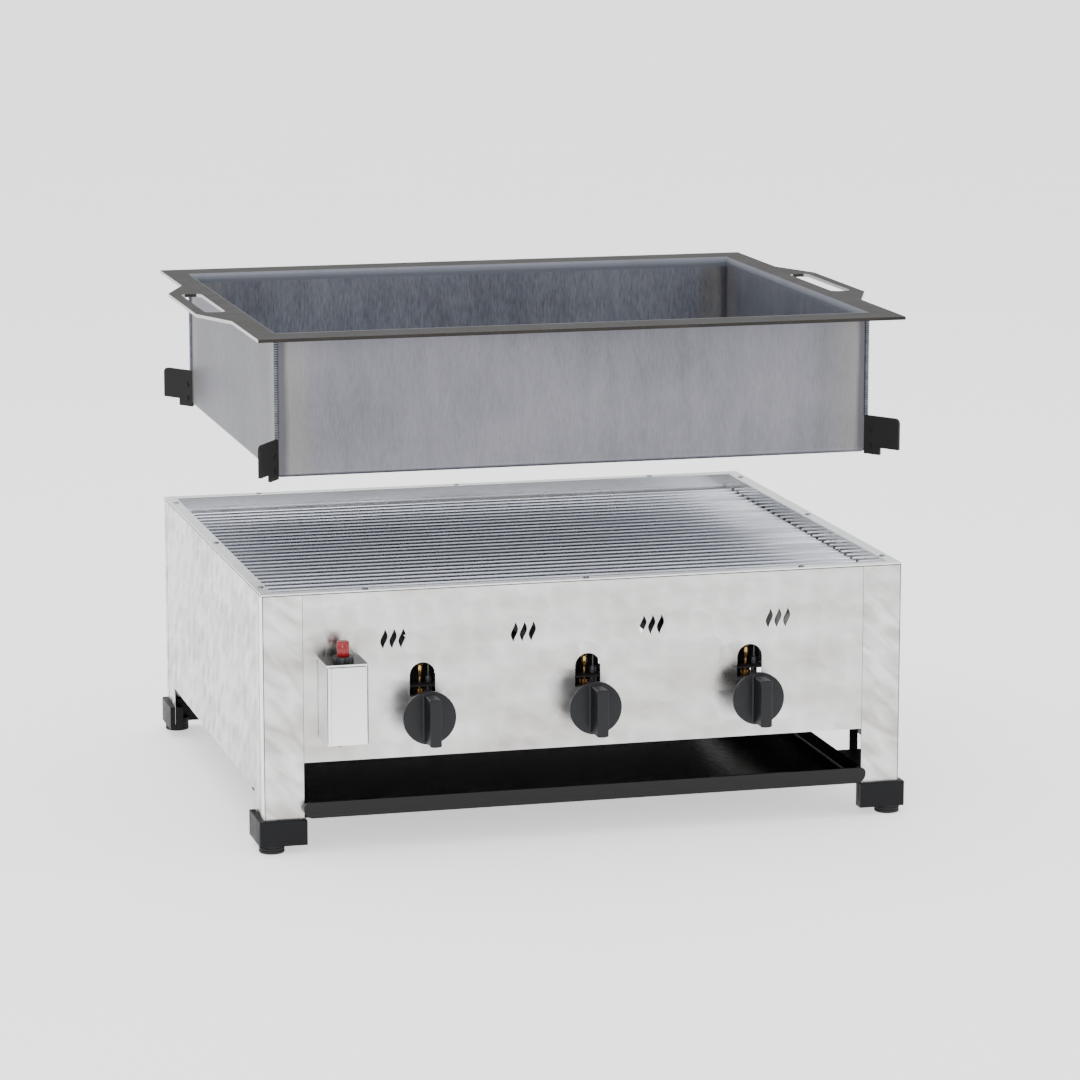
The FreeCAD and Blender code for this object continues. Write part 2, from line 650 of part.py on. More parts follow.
def burner(x):
    """Pressed-steel bar burner: mixing tube below, flame tube above, pilot tab in front."""
    mouth = NOZZLE_TIP + MIXER_MOUTH_GAP - BELL_L
    flame_l = BURNER_BACK - BURNER_FRONT
    rise = BURNER_Z - KNOB_Z
    throat = mouth + BELL_L
    riser_y = throat + MIXER_L - 2 * MIXER_R
    outer = rod(BURNER_R, V(x, BURNER_FRONT, BURNER_Z), flame_l, Y_AXIS)
    outer = outer.fuse([
        rod(MIXER_R, V(x, throat, KNOB_Z), MIXER_L, Y_AXIS),
        rod(RISER_R, V(x, riser_y, KNOB_Z), rise, Z_AXIS),
        Part.makeCone(BELL_R, MIXER_R, BELL_L, V(x, mouth, KNOB_Z), Y_AXIS)])
    mix_in = MIXER_R - MIXER_WALL
    inner = rod(BURNER_R - BURNER_WALL, V(x, BURNER_FRONT + BURNER_WALL, BURNER_Z),
                flame_l - 2 * BURNER_WALL, Y_AXIS)
    inner = inner.fuse([
        rod(mix_in, V(x, throat, KNOB_Z), MIXER_L - MIXER_WALL, Y_AXIS),
        rod(RISER_R - MIXER_WALL, V(x, riser_y, KNOB_Z), rise, Z_AXIS),
        Part.makeCone(BELL_R - MIXER_WALL, mix_in, BELL_L, V(x, mouth, KNOB_Z), Y_AXIS)])
    tab_half = PILOT_TAB_W / 2
    tab = box(x - tab_half, x + tab_half, FRONT + SHEET + BODY_GAP, BURNER_FRONT + BURNER_WALL / 2,
              PILOT_TAB_Z - PILOT_TAB_T, PILOT_TAB_Z)
    pilot_y = FRONT + PILOT_Y
    holes = [rod(SENSOR_NECK_R + SEAT, V(x + SENSOR_X, pilot_y, PILOT_TAB_Z - PILOT_TAB_T),
                 PILOT_TAB_T, Z_AXIS),
             rod(CERAMIC_R + SEAT, V(x + ELECTRODE_X, pilot_y, PILOT_TAB_Z - PILOT_TAB_T),
                 PILOT_TAB_T, Z_AXIS)]
    body = outer.cut(inner).fuse(tab.cut(holes))
    count = int((flame_l - 2 * PORT_MARGIN) / PORT_PITCH)
    first = (BURNER_FRONT + BURNER_BACK - (count - 1) * PORT_PITCH) / 2
    ports = [box(x - BURNER_R, x + BURNER_R, first + i * PORT_PITCH, first + i * PORT_PITCH + PORT_W,
                 BURNER_Z, BURNER_Z + PORT_H) for i in range(count)]
    return body.cut(ports).removeSplitter()


def burner_rail(y):
    """Angle from side to side that the burners lie on."""
    top = BURNER_Z - BURNER_R
    half = HALF_W - SHEET
    flat = box(-half, half, y, y + BURNER_RAIL_W, top - BURNER_RAIL_T, top)
    ends = [box(s * half, s * (half - BURNER_RAIL_T), y, y + BURNER_RAIL_W,
                top, top + BURNER_RAIL_LIP) for s in (-1, 1)]
    return flat.fuse(ends).removeSplitter()


def flame_sensor(x):
    """Thermocouple: nut on the valve, thin neck through the tab, bullet-shaped bulb."""
    base = V(x + SENSOR_X, FRONT + PILOT_Y, KNOB_Z + VALVE_H / 2)
    nut = rod(SENSOR_NUT_R, base, SENSOR_NUT_H, Z_AXIS)
    bulb_z = SENSOR_TIP_Z - SENSOR_BULB_L
    neck = rod(SENSOR_NECK_R, base, bulb_z - base.z, Z_AXIS)
    bulb = Part.makeCone(SENSOR_NECK_R, SENSOR_R, SENSOR_BULB_L / 2, V(base.x, base.y, bulb_z), Z_AXIS)
    cap = rod(SENSOR_R, V(base.x, base.y, bulb_z + SENSOR_BULB_L / 2), SENSOR_BULB_L / 2, Z_AXIS)
    cap = fillet(cap, SENSOR_TIP_R, level_at(SENSOR_TIP_Z))
    return nut.fuse([neck, bulb, cap]).removeSplitter()


def spark_electrode(x):
    """Ceramic sleeve held in the burner's tab, with the wire that the spark leaves from."""
    base = V(x + ELECTRODE_X, FRONT + PILOT_Y, PILOT_TAB_Z - CERAMIC_BELOW)
    ceramic_l = CERAMIC_BELOW + CERAMIC_ABOVE
    ceramic = rod(CERAMIC_R, base, ceramic_l, Z_AXIS)
    wire = rod(WIRE_R, base + V(0, 0, ceramic_l), WIRE_L, Z_AXIS)
    return ceramic.fuse(wire).removeSplitter()


# ---------------------------------------------------------------- knobs
def knob(x):
    """Round knob: a disc on a hub, with a tall straight grip across its face."""
    face_y = FRONT - KNOB_FACE
    disc = rod(KNOB_R, V(x, face_y, KNOB_Z), KNOB_DISC_T, Y_AXIS)
    disc = fillet(disc, KNOB_RIM_R, lambda edge: len(edge.Vertexes) == 1)
    hub_y = face_y + KNOB_DISC_T
    hub = Part.makeCone(KNOB_NECK_R, KNOB_HUB_R, FRONT - KNOB_GAP - hub_y, V(x, hub_y, KNOB_Z), Y_AXIS)
    front_y = face_y - KNOB_GRIP_H
    grip = box(x - KNOB_GRIP_W / 2, x + KNOB_GRIP_W / 2, front_y, hub_y, KNOB_Z - KNOB_R, KNOB_Z + KNOB_R)
    grip = grip.common(rod(KNOB_GRIP_R, V(x, front_y, KNOB_Z), KNOB_GRIP_H + KNOB_DISC_T, Y_AXIS))
    grip = fillet(grip, KNOB_GRIP_EDGE_R,
                  lambda edge: all(abs(v.Y - front_y) < TOUCH for v in edge.Vertexes))
    bore = rod(SPINDLE_R + SEAT, V(x, FRONT - KNOB_GAP - SPINDLE_IN_KNOB, KNOB_Z),
               SPINDLE_IN_KNOB, Y_AXIS)
    return disc.fuse([hub, grip]).cut(bore).removeSplitter()


def spindle(x):
    start = FRONT - KNOB_GAP - SPINDLE_IN_KNOB
    end = CHAMBER_Y + BODY_GAP
    return rod(SPINDLE_R, V(x, start, KNOB_Z), end - start, Y_AXIS)


# ---------------------------------------------------------------- igniter
def igniter_box():
    """Folded box on the front panel, open at the back, round-edged in front."""
    x0 = IGNITER_X - BOX_W / 2
    x1 = IGNITER_X + BOX_W / 2
    y0 = FRONT - BOX_DEPTH
    front_edge = lambda edge: upright(edge) and edge.Vertexes[0].Y < FRONT - BOX_DEPTH / 2
    shell = fillet(box(x0, x1, y0, FRONT, BOX_BOTTOM, BOX_TOP), BOX_EDGE_R, front_edge)
    hollow = box(x0 + BOX_WALL, x1 - BOX_WALL, y0 + BOX_WALL, FRONT,
                 BOX_BOTTOM + BOX_WALL, BOX_TOP - BOX_WALL)
    hollow = fillet(hollow, BOX_EDGE_R - BOX_WALL, front_edge)
    neck_hole = rod(NECK_R + SEAT, V(IGNITER_X, IGNITER_Y, BOX_TOP - BOX_WALL), BOX_WALL, Z_AXIS)
    screw_hole = rod(SCREW_R + SEAT, V(IGNITER_X - SCREW_OFFSET, y0 + SCREW_INSET, BOX_BOTTOM),
                     BOX_WALL, Z_AXIS)
    return shell.cut([hollow, neck_hole, screw_hole])


def igniter_barrel():
    """Barrel that hangs in the box: battery below, button guide in the threaded neck."""
    shoulder = BOX_TOP - BOX_WALL
    bottom = shoulder - BARREL_L
    centre = V(IGNITER_X, IGNITER_Y, bottom)
    body = rod(BARREL_R, centre, BARREL_L, Z_AXIS)
    neck = rod(NECK_R, centre, NECK_TOP - bottom, Z_AXIS)
    cell = rod(BARREL_BORE_R, centre + V(0, 0, BARREL_FLOOR),
               BATTERY_L + BATTERY_PIP_H + BODY_GAP, Z_AXIS)
    guide_z = NECK_TOP - BUTTON_STEM_L - BUTTON_TRAVEL - BODY_GAP
    guide = rod(BUTTON_STEM_R + BODY_GAP, V(IGNITER_X, IGNITER_Y, guide_z),
                NECK_TOP - guide_z, Z_AXIS)
    mouth_z = NECK_TOP - BUTTON_TRAVEL - 2 * BODY_GAP
    mouth = rod(BUTTON_R + BODY_GAP, V(IGNITER_X, IGNITER_Y, mouth_z), NECK_TOP - mouth_z, Z_AXIS)
    return body.fuse(neck).cut([cell, guide, mouth]).removeSplitter()


def igniter_battery():
    centre = V(IGNITER_X, IGNITER_Y, BOX_TOP - BOX_WALL - BARREL_L + BARREL_FLOOR)
    cell = rod(BATTERY_R, centre, BATTERY_L, Z_AXIS)
    return cell.fuse(rod(BATTERY_PIP_R, centre, BATTERY_L + BATTERY_PIP_H, Z_AXIS)).removeSplitter()


def igniter_nut():
    centre = V(IGNITER_X, IGNITER_Y, BOX_TOP)
    nut = rod(NUT_R, centre, NUT_H, Z_AXIS).cut(rod(NECK_R + SEAT, centre, NUT_H, Z_AXIS))
    notches = []
    for i in range(NUT_NOTCHES):
        turn = 2 * math.pi / NUT_NOTCHES * i
        notches.append(rod(NUT_NOTCH_R, centre + V(NUT_R * math.cos(turn), NUT_R * math.sin(turn), 0),
                           NUT_H, Z_AXIS))
    return nut.cut(notches)


def igniter_button():
    centre = V(IGNITER_X, IGNITER_Y, NECK_TOP)
    top = fillet(rod(BUTTON_R, centre, BUTTON_H, Z_AXIS), BUTTON_EDGE_R, level_at(NECK_TOP + BUTTON_H))
    stem = rod(BUTTON_STEM_R, centre - V(0, 0, BUTTON_STEM_L), BUTTON_STEM_L, Z_AXIS)
    return top.fuse(stem).removeSplitter()


def igniter_screw():
    base = V(IGNITER_X - SCREW_OFFSET, FRONT - BOX_DEPTH + SCREW_INSET, BOX_BOTTOM)
    head = rod(SCREW_HEAD_R, base - V(0, 0, SCREW_HEAD_H), SCREW_HEAD_H, Z_AXIS)
    head = fillet(head, SCREW_HEAD_H / 2, level_at(BOX_BOTTOM - SCREW_HEAD_H))
    return head.fuse(rod(SCREW_R, base, SCREW_L, Z_AXIS)).removeSplitter()


# ---------------------------------------------------------------- pan
def pan_block(inset, low, high):
    """Block of the pan's outline, drawn in by inset all round."""
    half_x = PAN_X - inset
    half_y = PAN_Y - inset
    return box(-half_x, half_x, MID_Y - half_y, MID_Y + half_y, low, high)


def pan_tub():
    """Floor and four walls of one thickness, bent at the floor and welded at the corners."""
    outer = fillet(pan_block(0, PAN_BOTTOM, TUB_TOP), PAN_BEND_R, level_at(PAN_BOTTOM))
    floor_z = PAN_BOTTOM + PAN_T
    hollow = pan_block(PAN_T, floor_z, TUB_TOP)
    return outer.cut(fillet(hollow, PAN_BEND_R - PAN_T, level_at(floor_z)))


def handle_outline():
    """Right-hand carrying tab, pushed up from its outline."""
    tab = prism([V(HALF_W - SLOT_W, MID_Y - HANDLE_BASE / 2, RIM_BOTTOM),
                 V(HALF_W, MID_Y - HANDLE_BASE / 2, RIM_BOTTOM),
                 V(HALF_W + HANDLE_OUT, MID_Y - HANDLE_TIP / 2, RIM_BOTTOM),
                 V(HALF_W + HANDLE_OUT, MID_Y + HANDLE_TIP / 2, RIM_BOTTOM),
                 V(HALF_W, MID_Y + HANDLE_BASE / 2, RIM_BOTTOM),
                 V(HALF_W - SLOT_W, MID_Y + HANDLE_BASE / 2, RIM_BOTTOM)], V(0, 0, RIM_T))
    return fillet(tab, HANDLE_CORNER_R, lambda e: upright(e) and e.Vertexes[0].X > HALF_W + TOUCH)


def handle_slot():
    x0 = HALF_W - SLOT_IN
    slot = box(x0, x0 + SLOT_W, MID_Y - SLOT_L / 2, MID_Y + SLOT_L / 2, RIM_BOTTOM, PAN_TOP)
    return fillet(slot, SLOT_R, upright)


def fold_edge(z):
    """Choose the edges at height z that the wall and the rim share."""
    def chosen(edge):
        bound = edge.BoundBox
        within_x = max(abs(bound.XMin), abs(bound.XMax)) < PAN_X + TOUCH
        within_y = max(abs(bound.YMin - MID_Y), abs(bound.YMax - MID_Y)) < PAN_Y + TOUCH
        return level_at(z)(edge) and within_x and within_y
    return chosen


def pan_rim():
    """Flat rim folded out of the walls, with a carrying tab and finger slot at each short side."""
    plate = box(-HALF_W, HALF_W, FRONT, BACK, RIM_BOTTOM, PAN_TOP)
    plate = plate.fuse([handle_outline(), mirror_x(handle_outline()),
                        pan_block(0, TUB_TOP, RIM_BOTTOM)])
    plate = plate.cut([pan_block(PAN_T, TUB_TOP, PAN_TOP), handle_slot(), mirror_x(handle_slot())])
    plate = fillet(plate.removeSplitter(), RIM_BEND_R, fold_edge(PAN_TOP))
    return fillet(plate, RIM_BEND_R - RIM_T, fold_edge(RIM_BOTTOM))


def corner_welds():
    """Bead up each outside corner, from the corner plate to the rim."""
    start = PAN_BOTTOM + PLATE_TOP
    beads = []
    for side in CORNERS.values():
        centre = V(side[0] * PAN_X, MID_Y + side[1] * PAN_Y, start)
        bead = rod(BEAD_R, centre, BEAD_TOP - start, Z_AXIS)
        beads.append(bead.cut(pan_block(0, start, BEAD_TOP)))
    return Part.makeCompound(beads)


def plate_place(shape):
    """Turn a piece drawn along +X at the origin out along the rear right corner."""
    shape.rotate(V(0, 0, 0), Z_AXIS, PLATE_ANGLE)
    shape.translate(V(PAN_X, MID_Y + PAN_Y, PAN_BOTTOM))
    return shape


def corner_plate():
    """Upright plate: its shoulder stands on the top frame, its tongue drops inside it."""
    inner = -PLATE_T
    outline = [V(inner, -PLATE_T / 2, -PLATE_DROP), V(PLATE_TONGUE, -PLATE_T / 2, -PLATE_DROP),
               V(PLATE_TONGUE, -PLATE_T / 2, PLATE_SHOULDER), V(PLATE_L, -PLATE_T / 2, PLATE_SHOULDER),
               V(PLATE_L, -PLATE_T / 2, PLATE_TOP), V(inner, -PLATE_T / 2, PLATE_TOP)]
    plate = prism(outline, V(0, PLATE_T, 0))
    top_corner = lambda edge: all(
        v.X > PLATE_L - TOUCH and v.Z > PLATE_TOP - TOUCH for v in edge.Vertexes)
    plate = fillet(plate, PLATE_TOP_R, top_corner)
    holes = [rod(PLATE_PIN_R + SEAT, V(PLATE_PIN_X, -PLATE_T, z), 2 * PLATE_T, Y_AXIS)
             for z in (PLATE_PIN_LOW, PLATE_PIN_HIGH)]
    plate = plate_place(plate.cut(holes))
    return plate.cut(pan_block(0, PAN_BOTTOM - PLATE_DROP, RIM_BOTTOM))


def corner_plate_pins():
    """Two rivets near the root of each corner plate."""
    pins = []
    for side in CORNERS.values():
        for z in (PLATE_PIN_LOW, PLATE_PIN_HIGH):
            shank = rod(PLATE_PIN_R, V(PLATE_PIN_X, -PLATE_T / 2, z), PLATE_T, Y_AXIS)
            heads = [rod(PLATE_PIN_HEAD_R, V(PLATE_PIN_X, y, z), PLATE_PIN_HEAD_H, Y_AXIS)
                     for y in (-PLATE_T / 2 - PLATE_PIN_HEAD_H, PLATE_T / 2)]
            pins.append(at_corner(plate_place(shank.fuse(heads).removeSplitter()), side))
    return Part.makeCompound(pins)


# ---------------------------------------------------------------- write every sub-part
os.makedirs("parts", exist_ok=True)
save("front_panel", front_panel())
save("back_panel", back_panel())
save("right_side_panel", right_side_panel())
save("left_side_panel", mirror_x(right_side_panel()))
save("top_frame", top_frame())
save("frame_rivets", frame_rivets())
save("grate", grate())
for place, side in CORNERS.items():
    save("foot_cap_" + place, at_corner(foot_cap(), side))
    save("foot_" + place, at_corner(foot(), side))
save("drip_tray", drip_tray())
save("tray_runner_right", right_tray_runner())
save("tray_runner_left", mirror_x(right_tray_runner()))
save("gas_manifold", gas_manifold())
save("manifold_clamps", manifold_clamps())
save("gas_inlet", gas_inlet())
save("injectors", injectors())
save("burner_rail_front", burner_rail(FRONT + BURNER_RAIL_INSET))
save("burner_rail_rear", burner_rail(BACK - BURNER_RAIL_INSET - BURNER_RAIL_W))
for side_name, knob_x in zip(SIDE_NAMES, KNOB_XS):
    save("gas_valve_" + side_name, gas_valve(knob_x))
    save("valve_plunger_" + side_name, valve_plunger(knob_x))
    save("burner_" + side_name, burner(knob_x))
    save("flame_sensor_" + side_name, flame_sensor(knob_x))
    save("spark_electrode_" + side_name, spark_electrode(knob_x))
    save("knob_" + side_name, knob(knob_x))
    save("spindle_" + side_name, spindle(knob_x))
save("igniter_box", igniter_box())
save("igniter_barrel", igniter_barrel())
save("igniter_battery", igniter_battery())
save("igniter_nut", igniter_nut())
save("igniter_button", igniter_button())
save("igniter_screw", igniter_screw())
save("pan_tub", pan_tub())
save("pan_rim", pan_rim())
save("corner_welds", corner_welds())
save("corner_plate_pins", corner_plate_pins())
for place, side in CORNERS.items():
    save("corner_plate_" + place, at_corner(corner_plate(), side))
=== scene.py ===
import math

import bmesh
import bpy
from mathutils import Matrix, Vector


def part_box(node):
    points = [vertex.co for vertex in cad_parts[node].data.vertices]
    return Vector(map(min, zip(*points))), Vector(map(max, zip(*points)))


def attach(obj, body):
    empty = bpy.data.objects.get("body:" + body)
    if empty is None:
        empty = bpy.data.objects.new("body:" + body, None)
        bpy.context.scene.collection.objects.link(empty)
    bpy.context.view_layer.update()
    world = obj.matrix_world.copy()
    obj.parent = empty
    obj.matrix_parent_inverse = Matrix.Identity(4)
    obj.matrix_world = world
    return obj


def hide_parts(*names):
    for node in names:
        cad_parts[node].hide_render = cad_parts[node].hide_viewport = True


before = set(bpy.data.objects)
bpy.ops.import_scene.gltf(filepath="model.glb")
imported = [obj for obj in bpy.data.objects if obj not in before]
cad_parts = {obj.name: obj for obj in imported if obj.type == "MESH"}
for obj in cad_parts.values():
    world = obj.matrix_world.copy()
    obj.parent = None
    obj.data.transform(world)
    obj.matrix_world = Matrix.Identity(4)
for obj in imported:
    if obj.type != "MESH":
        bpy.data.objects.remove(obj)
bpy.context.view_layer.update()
stand = bpy.context.scene
MM = 0.001


# ------------------------------------------------------------------ view
# A long lens, a little above the stove, looks at its middle from the left front, so the pan's
# inside and the grate both show.
LENS_MM = 138.9
RANGE = 4.058
SIGHT = 300.0
aim = Vector((0.0, -0.0887, 0.2494))
turn = math.radians(14.7)
dip = math.radians(10.75)
away = Vector((-math.sin(turn) * math.cos(dip), -math.cos(turn) * math.cos(dip), math.sin(dip)))
lens = bpy.data.cameras.new("view")
lens.lens = LENS_MM
lens.clip_end = SIGHT
view = bpy.data.objects.new("view", lens)
view.location = aim + away * RANGE
view.rotation_euler = (-away).to_track_quat("-Z", "Y").to_euler()
stand.collection.objects.link(view)
stand.camera = view


# ------------------------------------------------------------------ studio
# A pale matt floor that runs out of sight and is lit through from below like a light table, in a
# white room with soft boxes: a big one overhead, one at the left front, a narrow one at the right.
def linear(colour):
    """An sRGB hex value as linear RGBA."""
    parts = [int(colour[i:i + 2], 16) / 255 for i in (0, 2, 4)]
    return [p / 12.92 if p <= 0.04045 else ((p + 0.055) / 1.055) ** 2.4 for p in parts] + [1.0]


def put(tree, kind, settings=None, links=None):
    """Add one node: its settings by name, its sockets by name or number from a value or a socket.

    A colour mix takes its share at socket 0 and its two colours at 6 and 7. A map range takes the
    value at 0, where it starts and ends at 1 and 2, and what it then gives at 3 and 4.
    """
    made = tree.nodes.new(kind)
    for name, value in (settings or {}).items():
        setattr(made, name, value)
    for name, value in (links or {}).items():
        if isinstance(value, bpy.types.NodeSocket):
            tree.links.new(value, made.inputs[name])
        else:
            made.inputs[name].default_value = value
    return made


def new_finish(name, **fixed):
    """A material, its node tree, its shader with the fixed values, and the object's own axes."""
    finish = bpy.data.materials.new(name)
    finish.use_nodes = True
    tree = finish.node_tree
    tree.nodes.clear()
    named = {key.replace("_", " "): value for key, value in fixed.items()}
    shader = put(tree, "ShaderNodeBsdfPrincipled", links=named)
    put(tree, "ShaderNodeOutputMaterial", links={"Surface": shader.outputs[0]})
    return finish, tree, shader, put(tree, "ShaderNodeTexCoord").outputs["Object"]


def surface(tree, shader, colour, haze=None, relief=None, strength=0.0, depth_mm=0.0):
    """Give a finish its colour and, where it has them, its haze and its relief of some depth."""
    tree.links.new(colour, shader.inputs["Base Color"])
    if haze:
        tree.links.new(haze, shader.inputs["Roughness"])
    if relief:
        bump = put(tree, "ShaderNodeBump",
                   links={"Height": relief, "Strength": strength, "Distance": depth_mm * MM})
        tree.links.new(bump.outputs[0], shader.inputs["Normal"])


paper, tree, shader, place = new_finish("pale_floor", Roughness=0.9, Emission_Strength=0.9,
                                        Emission_Color=linear("FFFFFF"))
mottle = put(tree, "ShaderNodeTexNoise", links={"Vector": place, "Scale": 2.0}).outputs["Fac"]
tint = put(tree, "ShaderNodeMix", {"data_type": "RGBA"},
           {0: mottle, 6: linear("EFEFEE"), 7: linear("F5F5F5")})
surface(tree, shader, tint.outputs[2])
edge = SIGHT / 2
sheet = bpy.data.meshes.new("floor")
sheet.from_pydata([(-edge, -edge, 0), (edge, -edge, 0), (edge, edge, 0), (-edge, edge, 0)], [],
                  [(0, 1, 2, 3)])
sheet.materials.append(paper)
floor = bpy.data.objects.new("floor", sheet)
stand.collection.objects.link(floor)

room = bpy.data.worlds.new("white_room")
room.use_nodes = True
room.node_tree.nodes["Background"].inputs["Color"].default_value = linear("F6F8FB")
room.node_tree.nodes["Background"].inputs["Strength"].default_value = 1.4
stand.world = room

# each soft box: its name, where it stands, its width and height in metres, and its watts
for name, where, size, power in (
        ("box_overhead", (-0.4, 0.6, 3.2), (2.6, 1.6), 45.0),
        ("box_front", (-1.6, -3.4, 1.5), (1.4, 1.0), 34.0),
        ("box_right", (3.0, -0.6, 1.4), (0.5, 1.6), 16.0)):
    glow = bpy.data.lights.new(name, "AREA")
    glow.shape = "RECTANGLE"
    glow.size, glow.size_y = size
    glow.energy = power
    softbox = bpy.data.objects.new(name, glow)
    softbox.location = where
    softbox.rotation_euler = (aim - Vector(where)).to_track_quat("-Z", "Y").to_euler()
    stand.collection.objects.link(softbox)


# ------------------------------------------------------------------ body sheets
# Thin 1.2 mm stainless sheet, swirl-ground: a spinning pad leaves overlapping discs of fine round
# scratches, so each disc flashes along its own bow and the sheet looks softly marbled.
def dress(finish, *names):
    """Give nodes of the frame one finish."""
    for name in names:
        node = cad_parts[name]
        node.data.materials.clear()
        node.data.materials.append(finish)


swirled, tree, shader, place = new_finish("swirl_ground_stainless", Metallic=1.0, Anisotropic=0.72)
axes = put(tree, "ShaderNodeSeparateXYZ", links={0: place})
along = put(tree, "ShaderNodeMath", {"operation": "ADD"}, {0: axes.outputs[0], 1: axes.outputs[1]})
flat = put(tree, "ShaderNodeCombineXYZ", links={0: along.outputs[0], 1: axes.outputs[2]}).outputs[0]
# pad marks laid 27 mm apart
discs = put(tree, "ShaderNodeTexVoronoi", {"voronoi_dimensions": "2D"},
            {"Vector": flat, "Scale": 1 / (27 * MM), "Randomness": 0.55})
# each pad mark is half covered by the next, so its centre lies 7 mm and 9 mm off its visible patch
centre = put(tree, "ShaderNodeVectorMath", {"operation": "ADD"},
             {0: discs.outputs["Position"], 1: (-7 * MM, 9 * MM, 0.0)})
arm = put(tree, "ShaderNodeVectorMath", {"operation": "SUBTRACT"}, {0: flat, 1: centre.outputs[0]})
parts = put(tree, "ShaderNodeSeparateXYZ", links={0: arm.outputs[0]})
spoke = put(tree, "ShaderNodeCombineXYZ",
            links={0: parts.outputs[0], 1: parts.outputs[0], 2: parts.outputs[1]})
facing = put(tree, "ShaderNodeNewGeometry").outputs["Normal"]
scratch = put(tree, "ShaderNodeVectorMath", {"operation": "CROSS_PRODUCT"},
              {0: facing, 1: spoke.outputs[0]})
tree.links.new(scratch.outputs[0], shader.inputs["Tangent"])
# the marbling lies in level clouds about 130 mm long
level = put(tree, "ShaderNodeMapping",
            links={"Vector": place, "Scale": (0.42, 0.42, 1.3)}).outputs[0]
cloud = put(tree, "ShaderNodeTexNoise",
            links={"Vector": level, "Scale": 1 / (56 * MM), "Detail": 3.0,
                                              "Roughness": 0.5}).outputs["Fac"]
# the pad's drag leaves soft strokes about 13 mm wide and 38 mm long, falling to the right
leaning = put(tree, "ShaderNodeMapping",
              links={"Vector": flat, "Rotation": (0.0, 0.0, math.radians(42))})
drag = put(tree, "ShaderNodeMapping",
           links={"Vector": leaning.outputs[0], "Scale": (0.34, 1.0, 1.0)})
strokes = put(tree, "ShaderNodeTexNoise", {"noise_dimensions": "2D"},
              {"Vector": drag.outputs[0], "Scale": 1 / (13 * MM), "Detail": 1.5, "Distortion": 0.3})
half = put(tree, "ShaderNodeVectorMath", {"operation": "ABSOLUTE"}, {0: place}).outputs[0]
half = put(tree, "ShaderNodeSeparateXYZ", links={0: half})
low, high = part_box("front_panel")[0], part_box("back_panel")[1]
LEG_X = 272 * MM
LEG_FADE = 1 * MM
BEND_W = 14 * MM
SHEET_T = 1.2 * MM
on_side = put(tree, "ShaderNodeMath", {"operation": "GREATER_THAN"},
              {0: half.outputs[0], 1: high.x - SHEET_T / 3})
# the strokes are plainest on the legs, the round marks on the end sheets
weight = put(tree, "ShaderNodeMapRange",
             links={0: half.outputs[0], 1: LEG_X - LEG_FADE, 2: LEG_X + LEG_FADE, 3: 0.14,
                    4: 0.75}).outputs[0]
strokes = put(tree, "ShaderNodeMath",
              {"operation": "SUBTRACT"}, {0: strokes.outputs["Fac"], 1: 0.5})
blot = put(tree, "ShaderNodeMath",
           {"operation": "MULTIPLY_ADD"}, {0: strokes.outputs[0], 1: weight, 2: cloud})
dots = put(tree, "ShaderNodeMapRange", {"interpolation_type": "SMOOTHSTEP"},
           {0: discs.outputs["Distance"], 1: 0.08, 2: 0.5, 3: -0.12, 4: 0.1}).outputs[0]
share = put(tree, "ShaderNodeMath",
            {"operation": "MULTIPLY_ADD"}, {0: on_side.outputs[0], 1: 0.45, 2: 0.2})
blot = put(tree, "ShaderNodeMath", {"operation": "MULTIPLY_ADD"},
           {0: dots, 1: share.outputs[0], 2: blot.outputs[0]})
blot = put(tree, "ShaderNodeMapRange", links={0: blot.outputs[0], 1: 0.26, 2: 0.7}).outputs[0]
tint = put(tree, "ShaderNodeMix", {"data_type": "RGBA"},
           {0: blot, 6: linear("AEAAA6"), 7: linear("E2E1DF")})
# the end sheets turn round the front corner; a painted highlight makes their first 14 mm near-white
painted_bend_highlight = put(tree, "ShaderNodeMath",
           {"operation": "LESS_THAN"}, {0: axes.outputs[1], 1: low.y + BEND_W})
painted_bend_highlight = put(tree, "ShaderNodeMath",
           {"operation": "MULTIPLY"}, {0: painted_bend_highlight.outputs[0], 1: on_side.outputs[0]})
tint = put(tree, "ShaderNodeMix", {"data_type": "RGBA"},
           {0: painted_bend_highlight.outputs[0], 6: tint.outputs[2], 7: linear("FAFAF9")})
# behind the middle of its thickness, the sheet's inside faces are painted dark brown-grey: painted
# shade inside the body
in_x = put(tree, "ShaderNodeMath",
           {"operation": "LESS_THAN"}, {0: half.outputs[0], 1: high.x - SHEET_T / 2})
in_y = put(tree, "ShaderNodeMath",
           {"operation": "LESS_THAN"}, {0: half.outputs[1], 1: high.y - SHEET_T / 2})
painted_inside_shade = put(tree, "ShaderNodeMath",
            {"operation": "MULTIPLY"}, {0: in_x.outputs[0], 1: in_y.outputs[0]})
tint = put(tree, "ShaderNodeMix", {"data_type": "RGBA"},
           {0: painted_inside_shade.outputs[0], 6: tint.outputs[2], 7: linear("3A3836")})
haze = put(tree, "ShaderNodeMapRange",
           links={0: cloud, 1: 0.3, 2: 0.7, 3: 0.24, 4: 0.36}).outputs[0]
# scratches a few hundredths wide, drawn 1.6 mm apart so that they show
reach = put(tree, "ShaderNodeVectorMath",
            {"operation": "LENGTH"}, {0: arm.outputs[0]}).outputs["Value"]
rings = put(tree, "ShaderNodeMath",
            {"operation": "MULTIPLY"}, {0: reach, 1: 2 * math.pi / (1.6 * MM)})
rings = put(tree, "ShaderNodeMath", {"operation": "SINE"}, {0: rings.outputs[0]}).outputs[0]
buckle = put(tree, "ShaderNodeTexNoise",
             links={"Vector": place, "Scale": 1 / (110 * MM)}).outputs["Fac"]
relief = put(tree, "ShaderNodeMath", {"operation": "MULTIPLY_ADD"}, {0: rings, 1: 0.004, 2: buckle})
surface(tree, shader, tint.outputs[2], haze, relief.outputs[0], 0.35, 1.5)
dress(swirled, "front_panel", "back_panel", "left_side_panel", "right_side_panel")
